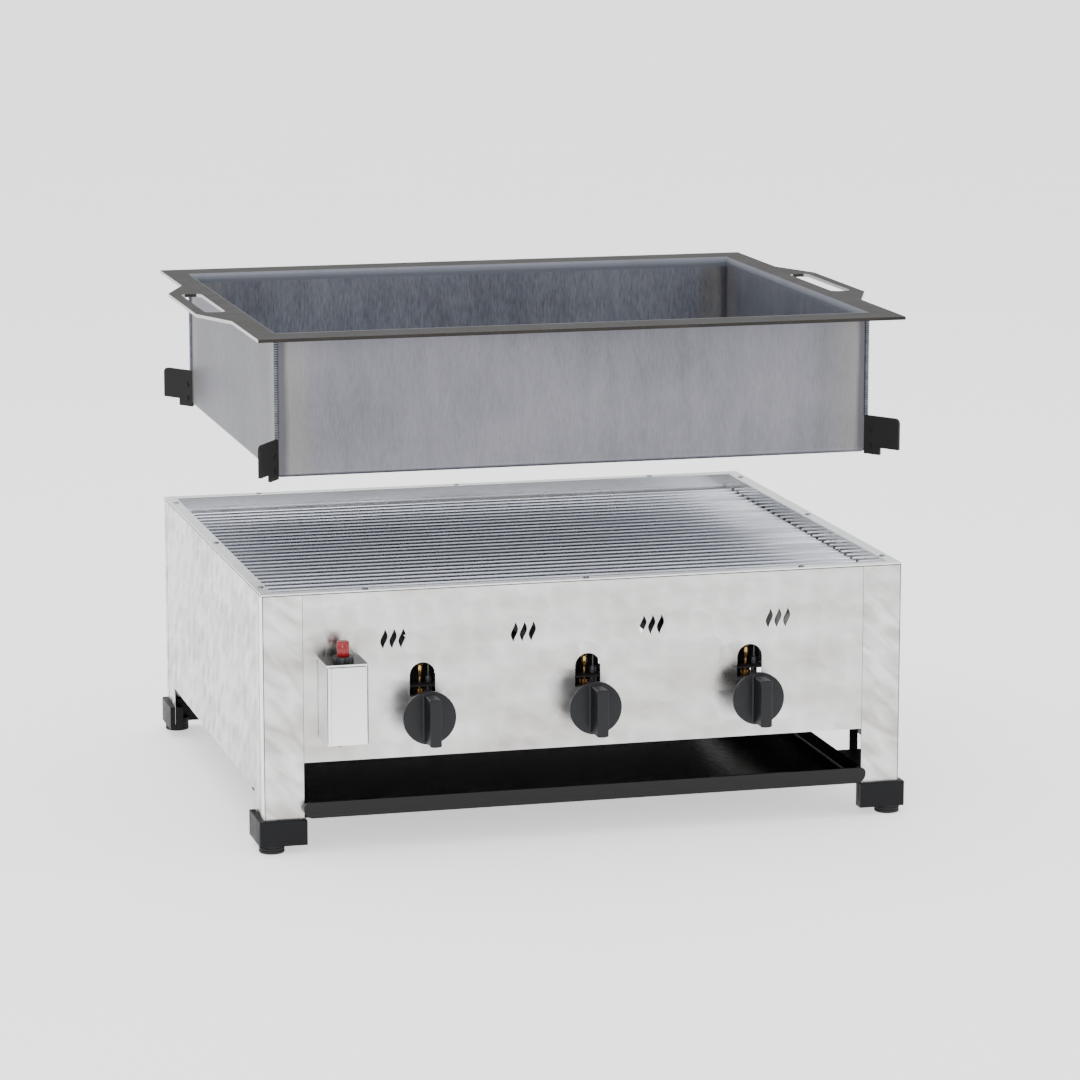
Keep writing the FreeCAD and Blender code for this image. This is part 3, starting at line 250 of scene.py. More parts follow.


# ------------------------------------------------------------------ sheet seams
# Where the folded sheets and the frame meet they don't quite close, and a painted shadow line stands
# in
# for the shade in the gap: under the frame's edge, down each corner and, finer, beside each leg and
# behind the end sheets' bends.
def bar_form(low, high):
    """Points and faces of a straight-sided bar between two corners."""
    points = [Vector((x, y, z)) for x in (low[0], high[0]) for y in (low[1], high[1])
              for z in (low[2], high[2])]
    faces = [(0, 1, 3, 2), (4, 6, 7, 5), (0, 4, 5, 1), (2, 3, 7, 6), (0, 2, 6, 4), (1, 5, 7, 3)]
    return points, faces


WELD_GAP = 0.004 * MM


def make_piece(name, forms, finish, body, bevel_mm=0.0, sharp=35.0):
    """One piece from several (points, faces) forms, welded, shaded smooth and put on its body."""
    made = bmesh.new()
    for points, faces in forms:
        verts = [made.verts.new(point) for point in points]
        for face in faces:
            made.faces.new([verts[i] for i in face])
    bmesh.ops.remove_doubles(made, verts=made.verts, dist=WELD_GAP)
    bmesh.ops.dissolve_degenerate(made, edges=made.edges, dist=WELD_GAP)
    bmesh.ops.recalc_face_normals(made, faces=made.faces)
    mesh = bpy.data.meshes.new(name)
    made.to_mesh(mesh)
    made.free()
    for face in mesh.polygons:
        face.use_smooth = True
    mesh.set_sharp_from_angle(angle=math.radians(sharp))
    mesh.materials.append(finish)
    piece = bpy.data.objects.new(name, mesh)
    stand.collection.objects.link(piece)
    if bevel_mm:
        edge = piece.modifiers.new("soft_edge", "BEVEL")
        edge.width = bevel_mm * MM
        edge.segments = 3
        edge.limit_method = "ANGLE"
        edge.angle_limit = math.radians(sharp)
        edge.harden_normals = True
    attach(piece, body)
    return piece


def patchy(name, size_mm, detail, dark, light, haze=None, relief=None, **fixed):
    """A plain finish: one noise of some size sways its colour, its haze (from, to) and its relief
    (strength, depth in mm)."""
    finish, tree, shader, place = new_finish(name, **fixed)
    noise = put(tree, "ShaderNodeTexNoise",
                links={"Vector": place, "Scale": 1 / (size_mm * MM), "Detail": detail})
    noise = noise.outputs["Fac"]
    tint = put(tree, "ShaderNodeMix", {"data_type": "RGBA"},
               {0: noise, 6: linear(dark), 7: linear(light)})
    if haze:
        haze = put(tree, "ShaderNodeMapRange", links={0: noise, 3: haze[0], 4: haze[1]}).outputs[0]
    surface(tree, shader, tint.outputs[2], haze, noise if relief else None, *(relief or ()))
    return finish


# dark strips painted as shadow lines in the gaps at the seams and along the igniter housing's folds
seam_shadow = patchy("painted_seam_shadow", 12, 3.0, "1C1B1A", "4A4845", Roughness=0.7,
               Specular_IOR_Level=0.2)
PROUD = 0.08 * MM
INSET = 1 * MM
SEAM_W = 0.9 * MM
CORNER_W = 0.7 * MM
FINE_W = 0.35 * MM
PANEL_Z = 85.5 * MM
seam_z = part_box("front_panel")[1].z
cap_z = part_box("foot_cap_front_left")[1].z
edge_z = seam_z - SEAM_W
forms = []
for y in (low.y, high.y):
    front, back = y - PROUD, y + PROUD
    forms.append(bar_form((low.x + INSET, front, edge_z), (high.x - INSET, back, seam_z)))
    for x in (low.x + CORNER_W, high.x - 2 * CORNER_W):
        forms.append(bar_form((x, front, cap_z), (x + CORNER_W, back, seam_z)))
    for x in (-LEG_X, LEG_X - FINE_W):
        forms.append(bar_form((x, front, PANEL_Z), (x + FINE_W, back, seam_z)))
for x in (low.x, high.x):
    forms.append(bar_form((x - PROUD, low.y + INSET, edge_z), (x + PROUD, high.y - INSET, seam_z)))
    for y in (low.y + BEND_W, high.y - BEND_W):
        forms.append(bar_form((x - PROUD, y, cap_z), (x + PROUD, y + SEAM_W, seam_z)))
make_piece("sheet_seams", forms, seam_shadow, "stove")


# ------------------------------------------------------------------ top frame
# The frame that the pan stands on and the ledge below it are plain bright-rolled stainless, left
# with its mill shine and rubbed lengthwise by years of pans, so it mirrors the rods softly.
bright, tree, shader, place = new_finish("bright_rolled_stainless", Metallic=1.0, Anisotropic=0.3)
smear = put(tree, "ShaderNodeTexNoise",
            links={"Vector": place, "Scale": 1 / (25 * MM), "Detail": 4.0})
tint = put(tree, "ShaderNodeMix", {"data_type": "RGBA"},
           {0: smear.outputs["Fac"], 6: linear("DEDEDE"), 7: linear("F0F0EE")})
haze = put(tree, "ShaderNodeMapRange",
           links={0: smear.outputs["Fac"], 1: 0.3, 2: 0.7, 3: 0.14, 4: 0.24}).outputs[0]
# below its 2 mm flange, the faces turned to the body sheets are painted near-black: painted shade in
# the gap
FLANGE_T = 2 * MM
frame_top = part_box("top_frame")[1]
level = put(tree, "ShaderNodeVectorMath", {"operation": "MULTIPLY"}, {0: place, 1: (1.0, 1.0, 0.0)})
facing = put(tree, "ShaderNodeNewGeometry").outputs["Normal"]
outward = put(tree, "ShaderNodeVectorMath",
              {"operation": "DOT_PRODUCT"}, {0: level.outputs[0], 1: facing})
outward = put(tree, "ShaderNodeMath",
              {"operation": "GREATER_THAN"}, {0: outward.outputs["Value"], 1: 0.1})
height = put(tree, "ShaderNodeSeparateXYZ", links={0: place}).outputs[2]
below = put(tree, "ShaderNodeMath",
            {"operation": "LESS_THAN"}, {0: height, 1: frame_top.z - FLANGE_T})
shaded_hidden_faces = put(tree, "ShaderNodeMath",
             {"operation": "MULTIPLY"}, {0: outward.outputs[0], 1: below.outputs[0]})
tint = put(tree, "ShaderNodeMix", {"data_type": "RGBA"},
           {0: shaded_hidden_faces.outputs[0], 6: tint.outputs[2], 7: linear("302E2C")})
surface(tree, shader, tint.outputs[2], haze, smear.outputs["Fac"], 0.12, 0.4)
dress(bright, "top_frame")


# ------------------------------------------------------------------ frame rivets
# Steel blind rivets, 6 mm heads, pulled from above: a low dome with the sunk stump of the mandrel
# in its middle. They darken with grease, so each reads as a small dark eye in a light ring.
def turned(profile, base, along, steps=48):
    """Points and faces of a turned form: (radius, height) pairs in mm, round an axis from base."""
    axis = Vector(along).normalized()
    side = axis.orthogonal().normalized()
    other = axis.cross(side)
    points = []
    for radius, height in profile:
        for i in range(steps):
            swing = 2 * math.pi * i / steps
            off = side * math.cos(swing) + other * math.sin(swing)
            points.append(Vector(base) + axis * (height * MM) + off * (radius * MM))
    faces = []
    for row in range(len(profile) - 1):
        for i in range(steps):
            j = (i + 1) % steps
            here, above = row * steps, (row + 1) * steps
            faces.append((here + i, here + j, above + j, above + i))
    return points, faces


riveted = patchy("pulled_steel_rivet", 1.2, 3.0, "6E6C6A", "A9A8A6", relief=(0.3, 0.1),
                 Metallic=1.0, Roughness=0.34)
RIVET_INSET = 6.5 * MM
RIVET_X = (-211.5 * MM, 0.0, 211.5 * MM)
RIVET_Y = (-227.0 * MM, 0.0, 227.0 * MM)
edge_x = frame_top.x - RIVET_INSET
edge_y = frame_top.y - RIVET_INSET
spots = [(x, y) for x in RIVET_X for y in (-edge_y, edge_y)]
spots += [(x, y) for x in (-edge_x, edge_x) for y in RIVET_Y]
# profiles of the head and of the stump in it: (radius, height) in mm above the frame
head = ((1.25, -2.4), (1.25, 0.2), (1.5, 0.62), (1.9, 0.8), (2.4, 0.68), (2.85, 0.4), (3.1, 0.0),
        (1.6, 0.0), (1.6, -2.4), (1.25, -2.4))
stump = ((0.0, 0.25), (0.8, 0.22), (1.2, 0.05), (1.25, -0.3), (1.25, -2.4), (0.0, -2.4))
forms = [turned(profile, (x, y, frame_top.z), (0, 0, 1), 28)
         for x, y in spots for profile in (head, stump)]
rivets = make_piece("rivet_heads", forms, riveted, "stove")
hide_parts("frame_rivets")


# ------------------------------------------------------------------ grate
# Cold-drawn 6 mm round bars spot-welded on flat bars and bright nickel-plated: a cool, slightly
# blue shine with dark gaps between, a little yellowed over the flames.
plated, tree, shader, place = new_finish("nickel_plated_bar", Metallic=1.0)
wide = put(tree, "ShaderNodeMapping", links={"Vector": place, "Scale": (1.0, 6.0, 6.0)}).outputs[0]
heat = put(tree, "ShaderNodeTexNoise",
           links={"Vector": wide, "Scale": 1 / (90 * MM), "Detail": 4.0})
tint = put(tree, "ShaderNodeMapRange", links={0: heat.outputs["Fac"], 1: 0.38, 2: 0.66}).outputs[0]
tint = put(tree, "ShaderNodeMix", {"data_type": "RGBA"},
           {0: tint, 6: linear("EEF1F8"), 7: linear("D2D5DC")})
drawn = put(tree, "ShaderNodeMapRange",
            links={0: heat.outputs["Fac"], 1: 0.3, 2: 0.7, 3: 0.22, 4: 0.36}).outputs[0]
grain = put(tree, "ShaderNodeTexNoise",
            links={"Vector": wide, "Scale": 1 / (3 * MM)}).outputs["Fac"]
surface(tree, shader, tint.outputs[2], drawn, grain, 0.1, 0.2)
dress(plated, "grate")


# ------------------------------------------------------------------ foot caps
# Black polyamide caps moulded in a spark-eroded tool and pushed over the legs: a dull, faintly
# grained black that turns grey where the light rakes it.
capped, tree, shader, place = new_finish("moulded_polyamide", IOR=1.53, Specular_IOR_Level=0.16)
spark = put(tree, "ShaderNodeTexNoise",
            links={"Vector": place, "Scale": 1 / (0.7 * MM), "Detail": 2.0})
dust = put(tree, "ShaderNodeTexNoise",
           links={"Vector": place, "Scale": 1 / (18 * MM), "Detail": 5.0})
tint = put(tree, "ShaderNodeMix", {"data_type": "RGBA"},
           {0: dust.outputs["Fac"], 6: linear("08080A"), 7: linear("151517")})
haze = put(tree, "ShaderNodeMapRange",
           links={0: dust.outputs["Fac"], 1: 0.3, 2: 0.7, 3: 0.42, 4: 0.58}).outputs[0]
surface(tree, shader, tint.outputs[2], haze, spark.outputs["Fac"], 0.35, 0.12)
corners = ("front_left", "front_right", "rear_left", "rear_right")
dress(capped, *["foot_cap_" + corner for corner in corners])


# ------------------------------------------------------------------ feet
# Pressed-in rubber feet, 24 mm across, turned with two grip rings and a soft lower edge, so they
# catch two thin light lines above the worktop.
soled = patchy("turned_rubber", 4, 5.0, "0E0E0E", "232323", (0.55, 0.8), (0.3, 0.2), IOR=1.52,
               Specular_IOR_Level=0.35)
# its profile: (radius, height) in mm above the worktop
foot = ((0.0, 0.0), (10.6, 0.0), (11.5, 0.3), (12.0, 1.0), (12.0, 2.6), (11.7, 3.0), (11.2, 3.1),
        (11.2, 3.7), (11.7, 3.8), (12.0, 4.2), (12.0, 5.2), (11.6, 5.5), (11.2, 5.6), (11.2, 6.5),
        (11.6, 6.6), (12.0, 7.0), (12.0, 8.0), (0.0, 8.0))
for corner in corners:
    low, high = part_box("foot_" + corner)
    middle = (low + high) / 2
    form = turned(foot, (middle.x, middle.y, 0.0), (0, 0, 1), 64)
    sole = make_piece("rubber_foot_" + corner, [form], soled, "stove", sharp=50.0)
    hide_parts("foot_" + corner)


# ------------------------------------------------------------------ drip tray
# Deep-drawn steel tray under gloss black vitreous enamel: deep, glassy and a little wavy, like
# orange peel, with pinpoint specks of grey.
enamelled, tree, shader, place = new_finish("black_vitreous_enamel", IOR=1.5,
                                            Specular_IOR_Level=0.28)
peel = put(tree, "ShaderNodeTexNoise",
           links={"Vector": place, "Scale": 1 / (5 * MM), "Detail": 1.0})
speck = put(tree, "ShaderNodeTexVoronoi", links={"Vector": place, "Scale": 1 / (6 * MM)})
speck = put(tree, "ShaderNodeMapRange",
            links={0: speck.outputs["Distance"], 1: 0.08, 2: 0.05}).outputs[0]
tint = put(tree, "ShaderNodeMix",
           {"data_type": "RGBA"}, {0: speck, 6: linear("030304"), 7: linear("161719")})
haze = put(tree, "ShaderNodeMapRange", links={0: peel.outputs["Fac"], 3: 0.1, 4: 0.2}).outputs[0]
surface(tree, shader, tint.outputs[2], haze, peel.outputs["Fac"], 0.16, 0.5)
dress(enamelled, "drip_tray")


# ------------------------------------------------------------------ tray runners
# Folded mild-steel angles that the tray slides in, fixed between the legs. They are dipped in
# black paint, which pools and dulls.
dipped = patchy("dipped_black_paint", 14, 4.0, "0B0B0C", "19191B", (0.25, 0.6), (0.3, 0.4), IOR=1.5)
dress(dipped, "tray_runner_left", "tray_runner_right")


# ------------------------------------------------------------------ gas rail and its clamps
# Zinc-plated precision steel tube, bent cold: a satin grey with a faint yellow-blue passivation
# bloom and die lines along the pipe.
zinced, tree, shader, place = new_finish("zinc_plated_tube", Metallic=1.0)
bloom = put(tree, "ShaderNodeTexNoise",
            links={"Vector": place, "Scale": 1 / (30 * MM), "Detail": 5.0,
                                              "Distortion": 0.6})
tint = put(tree, "ShaderNodeMix", {"data_type": "RGBA"},
           {0: bloom.outputs["Fac"], 6: linear("9FA6B0"), 7: linear("C6C2B2")})
haze = put(tree, "ShaderNodeMapRange", links={0: bloom.outputs["Fac"], 3: 0.28, 4: 0.45}).outputs[0]
surface(tree, shader, tint.outputs[2], haze, bloom.outputs["Fac"], 0.1, 0.3)
dress(zinced, "gas_manifold", "manifold_clamps")


# ------------------------------------------------------------------ gas inlet and injectors
# Free-cutting brass: the inlet is a hexagon turned down to a neck and a quarter-inch left-hand
# thread, 19 to the inch, for the hose; bright on the cuts, browner in the roots.
brassy, tree, shader, place = new_finish("turned_brass", Metallic=1.0)
tarnish = put(tree, "ShaderNodeTexNoise",
              links={"Vector": place, "Scale": 1 / (6 * MM), "Detail": 5.0})
hollow = put(tree, "ShaderNodeNewGeometry").outputs["Pointiness"]
worn = put(tree, "ShaderNodeMapRange", links={0: hollow, 1: 0.46, 2: 0.54}).outputs[0]
worn = put(tree, "ShaderNodeMath", {"operation": "MULTIPLY_ADD"},
           {0: tarnish.outputs["Fac"], 1: 0.5, 2: worn})
worn = put(tree, "ShaderNodeMapRange", links={0: worn.outputs[0], 1: 0.2, 2: 1.2}).outputs[0]
tint = put(tree, "ShaderNodeMix",
           {"data_type": "RGBA"}, {0: worn, 6: linear("8E6A34"), 7: linear("D8B468")})
haze = put(tree, "ShaderNodeMapRange",
           links={0: tarnish.outputs["Fac"], 3: 0.2, 4: 0.38}).outputs[0]
surface(tree, shader, tint.outputs[2], haze, tarnish.outputs["Fac"], 0.15, 0.1)
dress(brassy, "injectors")

HEX_L = 14.0
HEX_R = 11.5
BORE_R = 4.0
NECK_R = 7.6
THREAD_L = 14.0
PITCH = 25.4 / 19
ROOT_R = 5.85
CREST_R = 6.56
END_L = 0.6
low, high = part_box("gas_inlet")
root = Vector(((low.x + high.x) / 2, low.y, (low.z + high.z) / 2))
reach = (high.y - low.y) / MM
shank = [(BORE_R, 0.0), (HEX_R, 0.0), (HEX_R, 1.0), (HEX_R, HEX_L - 1.0), (HEX_R, HEX_L),
         (NECK_R, HEX_L), (NECK_R, reach - THREAD_L - 1.0), (NECK_R - 0.4, reach - THREAD_L)]
cut = reach - THREAD_L + 0.4
while cut + PITCH < reach - END_L:
    shank += [(ROOT_R - 0.05, cut), (ROOT_R, cut + PITCH * 0.12), (CREST_R, cut + PITCH * 0.45),
              (CREST_R, cut + PITCH * 0.6), (ROOT_R, cut + PITCH * 0.95)]
    cut += PITCH
shank += [(6.2, reach - END_L), (5.7, reach), (BORE_R, reach), (BORE_R, 0.0)]
fitting = turned(shank, root, (0, 1, 0), 72)
flats = [(11.0, 0.0), (12.6, 0.0), (13.45, 0.9), (13.45, HEX_L - 0.9), (12.6, HEX_L), (11.0, HEX_L)]
hexagon = turned(flats, root, (0, 1, 0), 6)
union = make_piece("inlet_union", [fitting, hexagon], brassy, "stove", 0.15, 25.0)
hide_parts("gas_inlet")


# ------------------------------------------------------------------ gas valves
# Die-cast aluminium cocks, tumbled and left raw: a soft grey with a fine cast skin. The plungers
# inside them and the spindles that carry the knobs are turned from bright steel.
sides = ("left", "middle", "right")
cast = patchy("die_cast_aluminium", 2, 6.0, "66676A", "8D8E90", (0.36, 0.55), (0.3, 0.15),
              Metallic=1.0)
dress(cast, *["gas_valve_" + side for side in sides])

bar, tree, shader, place = new_finish("turned_bright_steel", Metallic=1.0, Anisotropic=0.4)
fine = put(tree, "ShaderNodeMapping", links={"Vector": place, "Scale": (1.0, 20.0, 1.0)}).outputs[0]
tool = put(tree, "ShaderNodeTexNoise", links={"Vector": fine, "Scale": 1 / (5 * MM), "Detail": 3.0})
tint = put(tree, "ShaderNodeMix", {"data_type": "RGBA"},
           {0: tool.outputs["Fac"], 6: linear("A7A8AB"), 7: linear("CFD0D2")})
haze = put(tree, "ShaderNodeMapRange", links={0: tool.outputs["Fac"], 3: 0.18, 4: 0.34}).outputs[0]
surface(tree, shader, tint.outputs[2], haze, tool.outputs["Fac"], 0.12, 0.05)
dress(bar, *["valve_plunger_" + side for side in sides], *["spindle_" + side for side in sides])


# ------------------------------------------------------------------ burners and their rails
# Aluminised steel tubes with saw-cut flame ports: a dull spangled grey smoked dark in use, blued
# and browned by heat along the ports. The rails under them are the same sheet, only cooler.
burnt, tree, shader, place = new_finish("heat_tinted_aluminised_steel", Metallic=0.3,
                                        Specular_IOR_Level=0.1)
spangle = put(tree, "ShaderNodeTexVoronoi", links={"Vector": place, "Scale": 1 / (9 * MM)})
flake = put(tree, "ShaderNodeSeparateXYZ", links={0: spangle.outputs["Color"]}).outputs[0]
tint = put(tree, "ShaderNodeMix",
           {"data_type": "RGBA"}, {0: flake, 6: linear("2E2F31"), 7: linear("404143")})
height = put(tree, "ShaderNodeSeparateXYZ", links={0: place}).outputs[2]
scorch = put(tree, "ShaderNodeTexNoise",
             links={"Vector": place, "Scale": 1 / (22 * MM), "Detail": 5.0})
hot = put(tree, "ShaderNodeMapRange", links={0: height, 1: 158 * MM, 2: 172 * MM}).outputs[0]
hot = put(tree, "ShaderNodeMath", {"operation": "MULTIPLY"}, {0: hot, 1: scorch.outputs["Fac"]})
blue = put(tree, "ShaderNodeMix", {"data_type": "RGBA"},
           {0: scorch.outputs["Fac"], 6: linear("3E3D48"), 7: linear("574636")})
tint = put(tree, "ShaderNodeMix", {"data_type": "RGBA"},
           {0: hot.outputs[0], 6: tint.outputs[2], 7: blue.outputs[2]})
# the front ends, near the lighting ports, are painted near-black, thinning out about 30 mm back
depth = put(tree, "ShaderNodeSeparateXYZ", links={0: place}).outputs[1]
port_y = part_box("burner_left")[0].y
darkened_front_ends = put(tree, "ShaderNodeMapRange",
            links={0: depth, 1: port_y + 34 * MM, 2: port_y + 26 * MM}).outputs[0]
tint = put(tree, "ShaderNodeMix",
           {"data_type": "RGBA"}, {0: darkened_front_ends, 6: tint.outputs[2], 7: linear("232223")})
haze = put(tree, "ShaderNodeMapRange", links={0: flake, 3: 0.6, 4: 0.78}).outputs[0]
surface(tree, shader, tint.outputs[2], haze, scorch.outputs["Fac"], 0.2, 0.3)
dress(burnt, *["burner_" + side for side in sides], "burner_rail_front", "burner_rail_rear")


# ------------------------------------------------------------------ flame sensors
# Thermocouples: a copper-nickel tip spun to a bullet, gone golden brown in the flame, on a thin
# stem. They stand just inside the arched lighting ports and are the one warm colour there.
coppery, tree, shader, place = new_finish("flame_browned_copper", Metallic=1.0, Roughness=0.3)
height = put(tree, "ShaderNodeSeparateXYZ", links={0: place}).outputs[2]
heat = put(tree, "ShaderNodeTexNoise",
           links={"Vector": place, "Scale": 1 / (3 * MM), "Detail": 3.0})
rise = put(tree, "ShaderNodeMapRange",
           links={0: height, 1: 150 * MM, 2: 170 * MM, 4: 0.7}).outputs[0]
rise = put(tree, "ShaderNodeMath", {"operation": "MULTIPLY_ADD"},
           {0: heat.outputs["Fac"], 1: 0.35, 2: rise})
tint = put(tree, "ShaderNodeMix", {"data_type": "RGBA"},
           {0: rise.outputs[0], 6: linear("8A5F3A"), 7: linear("D2AE72")})
surface(tree, shader, tint.outputs[2], None, heat.outputs["Fac"], 0.15, 0.1)
dress(coppery, *["flame_sensor_" + side for side in sides])


# ------------------------------------------------------------------ spark electrodes
# A dark-glazed ceramic sleeve with a wire that the spark jumps from: the glaze is glassy under
# its soot, and the wire above it is scaled dark.
glazed, tree, shader, place = new_finish("glazed_ceramic", IOR=1.52, Coat_Weight=0.5,
                                         Coat_Roughness=0.08)
height = put(tree, "ShaderNodeSeparateXYZ", links={0: place}).outputs[2]
WIRE_L = 11.0 * MM
glaze_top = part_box("spark_electrode_left")[1].z - WIRE_L
soot = put(tree, "ShaderNodeTexNoise",
           links={"Vector": place, "Scale": 1 / (4 * MM), "Detail": 4.0})
wire = put(tree, "ShaderNodeMapRange",
           links={0: height, 1: glaze_top, 2: glaze_top + 0.2 * MM}).outputs[0]
glaze = put(tree, "ShaderNodeMix", {"data_type": "RGBA"},
            {0: soot.outputs["Fac"], 6: linear("2E2D31"), 7: linear("46454B")})
tint = put(tree, "ShaderNodeMix", {"data_type": "RGBA"},
           {0: wire, 6: glaze.outputs[2], 7: linear("4A4644")})
haze = put(tree, "ShaderNodeMapRange", links={0: soot.outputs["Fac"], 3: 0.15, 4: 0.4}).outputs[0]
surface(tree, shader, tint.outputs[2], haze)
dress(glazed, *["spark_electrode_" + side for side in sides])


# ------------------------------------------------------------------ knobs
# Compression-moulded black phenolic, satin from the tool: a thin disc on a tapered hub, with a
# tall straight grip across it. The grip flares where it meets the disc, and its edges are eased.
moulded, tree, shader, place = new_finish("satin_black_phenolic", IOR=1.6, Specular_IOR_Level=0.2)
grain = put(tree, "ShaderNodeTexNoise",
            links={"Vector": place, "Scale": 1 / (1.1 * MM), "Detail": 2.0})
rub = put(tree, "ShaderNodeTexNoise",
          links={"Vector": place, "Scale": 1 / (16 * MM), "Detail": 4.0})
tint = put(tree, "ShaderNodeMix", {"data_type": "RGBA"},
           {0: rub.outputs["Fac"], 6: linear("0C0C0F"), 7: linear("17181B")})
haze = put(tree, "ShaderNodeMapRange",
           links={0: rub.outputs["Fac"], 1: 0.3, 2: 0.7, 3: 0.3, 4: 0.42}).outputs[0]
surface(tree, shader, tint.outputs[2], haze, grain.outputs["Fac"], 0.2, 0.08)

KNOB_R = 25.0
FACE_H = 27.0
GRIP_W = 10.8
GRIP_H = 24.0
GRIP_R = 22.5
CORNER_R = 1.3
FLARE = 1.8
EASE = 0.9
CORNER_STEPS = 8
END_STEPS = 10
EDGE_STEPS = 6
# the hub's and the disc's profile: (radius, height) in mm from the hub's back
hub = ((4.05, 0.0), (14.4, 0.0), (15.0, 0.6), (19.3, 20.4), (19.9, 21.0), (23.9, 21.1),
       (24.6, 21.4), (25.0, 22.1), (25.0, 25.8), (24.8, 26.3), (24.3, 26.8), (23.6, FACE_H),
       (0.0, FACE_H))
# the grip's outline seen from the front, each point with the way it faces
corner_x = GRIP_W / 2 - CORNER_R
corner_z = math.sqrt((GRIP_R - CORNER_R) ** 2 - corner_x ** 2)
lean = math.atan2(corner_z, corner_x)
arcs = ((corner_x, corner_z, CORNER_R, 0.0, lean), (0.0, 0.0, GRIP_R, lean, math.pi - lean),
        (-corner_x, corner_z, CORNER_R, math.pi - lean, math.pi),
        (-corner_x, -corner_z, CORNER_R, math.pi, math.pi + lean),
        (0.0, 0.0, GRIP_R, math.pi + lean, 2 * math.pi - lean),
        (corner_x, -corner_z, CORNER_R, 2 * math.pi - lean, 2 * math.pi))
outline = []
for centre_x, centre_z, radius, start, end in arcs:
    rounded = radius == CORNER_R
    count = CORNER_STEPS if rounded else END_STEPS
    for i in range(count + 1) if rounded else range(1, count):
        swing = start + (end - start) * i / count
        out_x, out_z = math.cos(swing), math.sin(swing)
        outline.append((centre_x + radius * out_x, centre_z + radius * out_z, out_x, out_z))
# how far each level of the grip stands out from that outline, from inside the disc to the front
SUNK = 0.6
quarter = [math.pi / 2 * i / EDGE_STEPS for i in range(EDGE_STEPS + 1)]
levels = [(FLARE, -SUNK)] + [(FLARE * (1 - math.sin(q)), FLARE * (1 - math.cos(q))) for q in quarter]
levels += [(EASE * (math.cos(q) - 1), GRIP_H - EASE + EASE * math.sin(q)) for q in quarter]
for side in sides:
    low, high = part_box("knob_" + side)
    axis = Vector(((low.x + high.x) / 2, high.y, high.z - KNOB_R * MM))
    body_of_knob = turned(hub, axis, (0, -1, 0), 96)
    points = [axis + Vector((x + out * nx, -FACE_H - up, z + out * nz)) * MM
              for out, up in levels for x, z, nx, nz in outline]
    count = len(outline)
    faces = [(row * count + i, row * count + (i + 1) % count,
              (row + 1) * count + (i + 1) % count, (row + 1) * count + i)
             for row in range(len(levels) - 1) for i in range(count)]
    faces += [tuple(range(count)), tuple(range(len(points) - count, len(points)))]
    knob = make_piece("grip_knob_" + side, [body_of_knob, (points, faces)], moulded, "knob_" + side,
                      0.3, 40.0)
    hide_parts("knob_" + side)


# ------------------------------------------------------------------ igniter housing
# A folded box of bright annealed stainless on the front sheet, smooth and nearly mirror-like: a
# painted upright gradient stands in for its reflection, and painted shadow lines run down its folded
# edges.
mirror, tree, shader, place = new_finish("bright_annealed_stainless", Metallic=1.0,
                                         Anisotropic=0.35)
tall = put(tree, "ShaderNodeMapping",
           links={"Vector": place, "Scale": (12.0, 12.0, 1.0)}).outputs[0]
brush = put(tree, "ShaderNodeTexNoise",
            links={"Vector": tall, "Scale": 1 / (14 * MM), "Detail": 4.0})
tint = put(tree, "ShaderNodeMix", {"data_type": "RGBA"},
           {0: brush.outputs["Fac"], 6: linear("E6E6E4"), 7: linear("F8F8F6")})
# a painted reflection gradient makes it a little greyer towards its top
low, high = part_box("igniter_box")
height = put(tree, "ShaderNodeSeparateXYZ", links={0: place}).outputs[2]
rise = put(tree, "ShaderNodeMapRange", links={0: height, 1: low.z, 2: high.z, 4: 0.55}).outputs[0]
tint = put(tree, "ShaderNodeMix",
           {"data_type": "RGBA"}, {0: rise, 6: tint.outputs[2], 7: linear("C3C5C7")})
# the lid's upward faces are painted dark grey, a painted reflection, and shine like the rest
facing = put(tree, "ShaderNodeNewGeometry").outputs["Normal"]
upward = put(tree, "ShaderNodeSeparateXYZ", links={0: facing}).outputs[2]
lid = put(tree, "ShaderNodeMapRange", links={0: upward, 1: 0.5, 2: 0.8}).outputs[0]
tint = put(tree, "ShaderNodeMix",
           {"data_type": "RGBA"}, {0: lid, 6: tint.outputs[2], 7: linear("3B3F3E")})
haze = put(tree, "ShaderNodeMapRange", links={0: brush.outputs["Fac"], 3: 0.16, 4: 0.26}).outputs[0]
surface(tree, shader, tint.outputs[2], haze, brush.outputs["Fac"], 0.06, 0.1)
dress(mirror, "igniter_box")
FOLD_W = 0.6 * MM
FAINT_W = 0.22 * MM
BACK_W = 0.5 * MM
LID_W = 0.9 * MM
LID_Z = 1.7 * MM
fold_low, fold_high = low.z + INSET, high.z - 2 * MM
forms = []
# painted shadow lines down the front's two folded edges, and a faint one on a crease just right of
# the left one
for x, wide in ((low.x + 0.25 * MM, FOLD_W), (low.x + 4.2 * MM, FAINT_W),
                (high.x - 0.85 * MM, FOLD_W)):
    forms.append(bar_form((x, low.y - PROUD, fold_low), (x + wide, low.y + PROUD, fold_high)))
# painted shadow lines under the lid, and where the left side meets the sheet
forms.append(bar_form((low.x + 2 * MM, low.y - PROUD, high.z - LID_Z - LID_W),
                      (high.x - 2 * MM, low.y + PROUD, high.z - LID_Z)))
forms.append(bar_form((low.x - PROUD, high.y - SEAM_W, fold_low),
                      (low.x + PROUD, high.y - SEAM_W + BACK_W, fold_high)))
make_piece("housing_folds", forms, seam_shadow, "stove")


# ------------------------------------------------------------------ igniter works
# Inside hangs a moulded black barrel with a pen-light cell, drawn up by a notched nut. The nut is
# the same hard black moulding, and the cell wears a plain printed sleeve over zinc.
barrel = patchy("hard_black_moulding", 5, 3.0, "111113", "1F1F22", (0.25, 0.42), (0.12, 0.1),
                IOR=1.55, Specular_IOR_Level=0.5)
dress(barrel, "igniter_barrel", "igniter_nut")

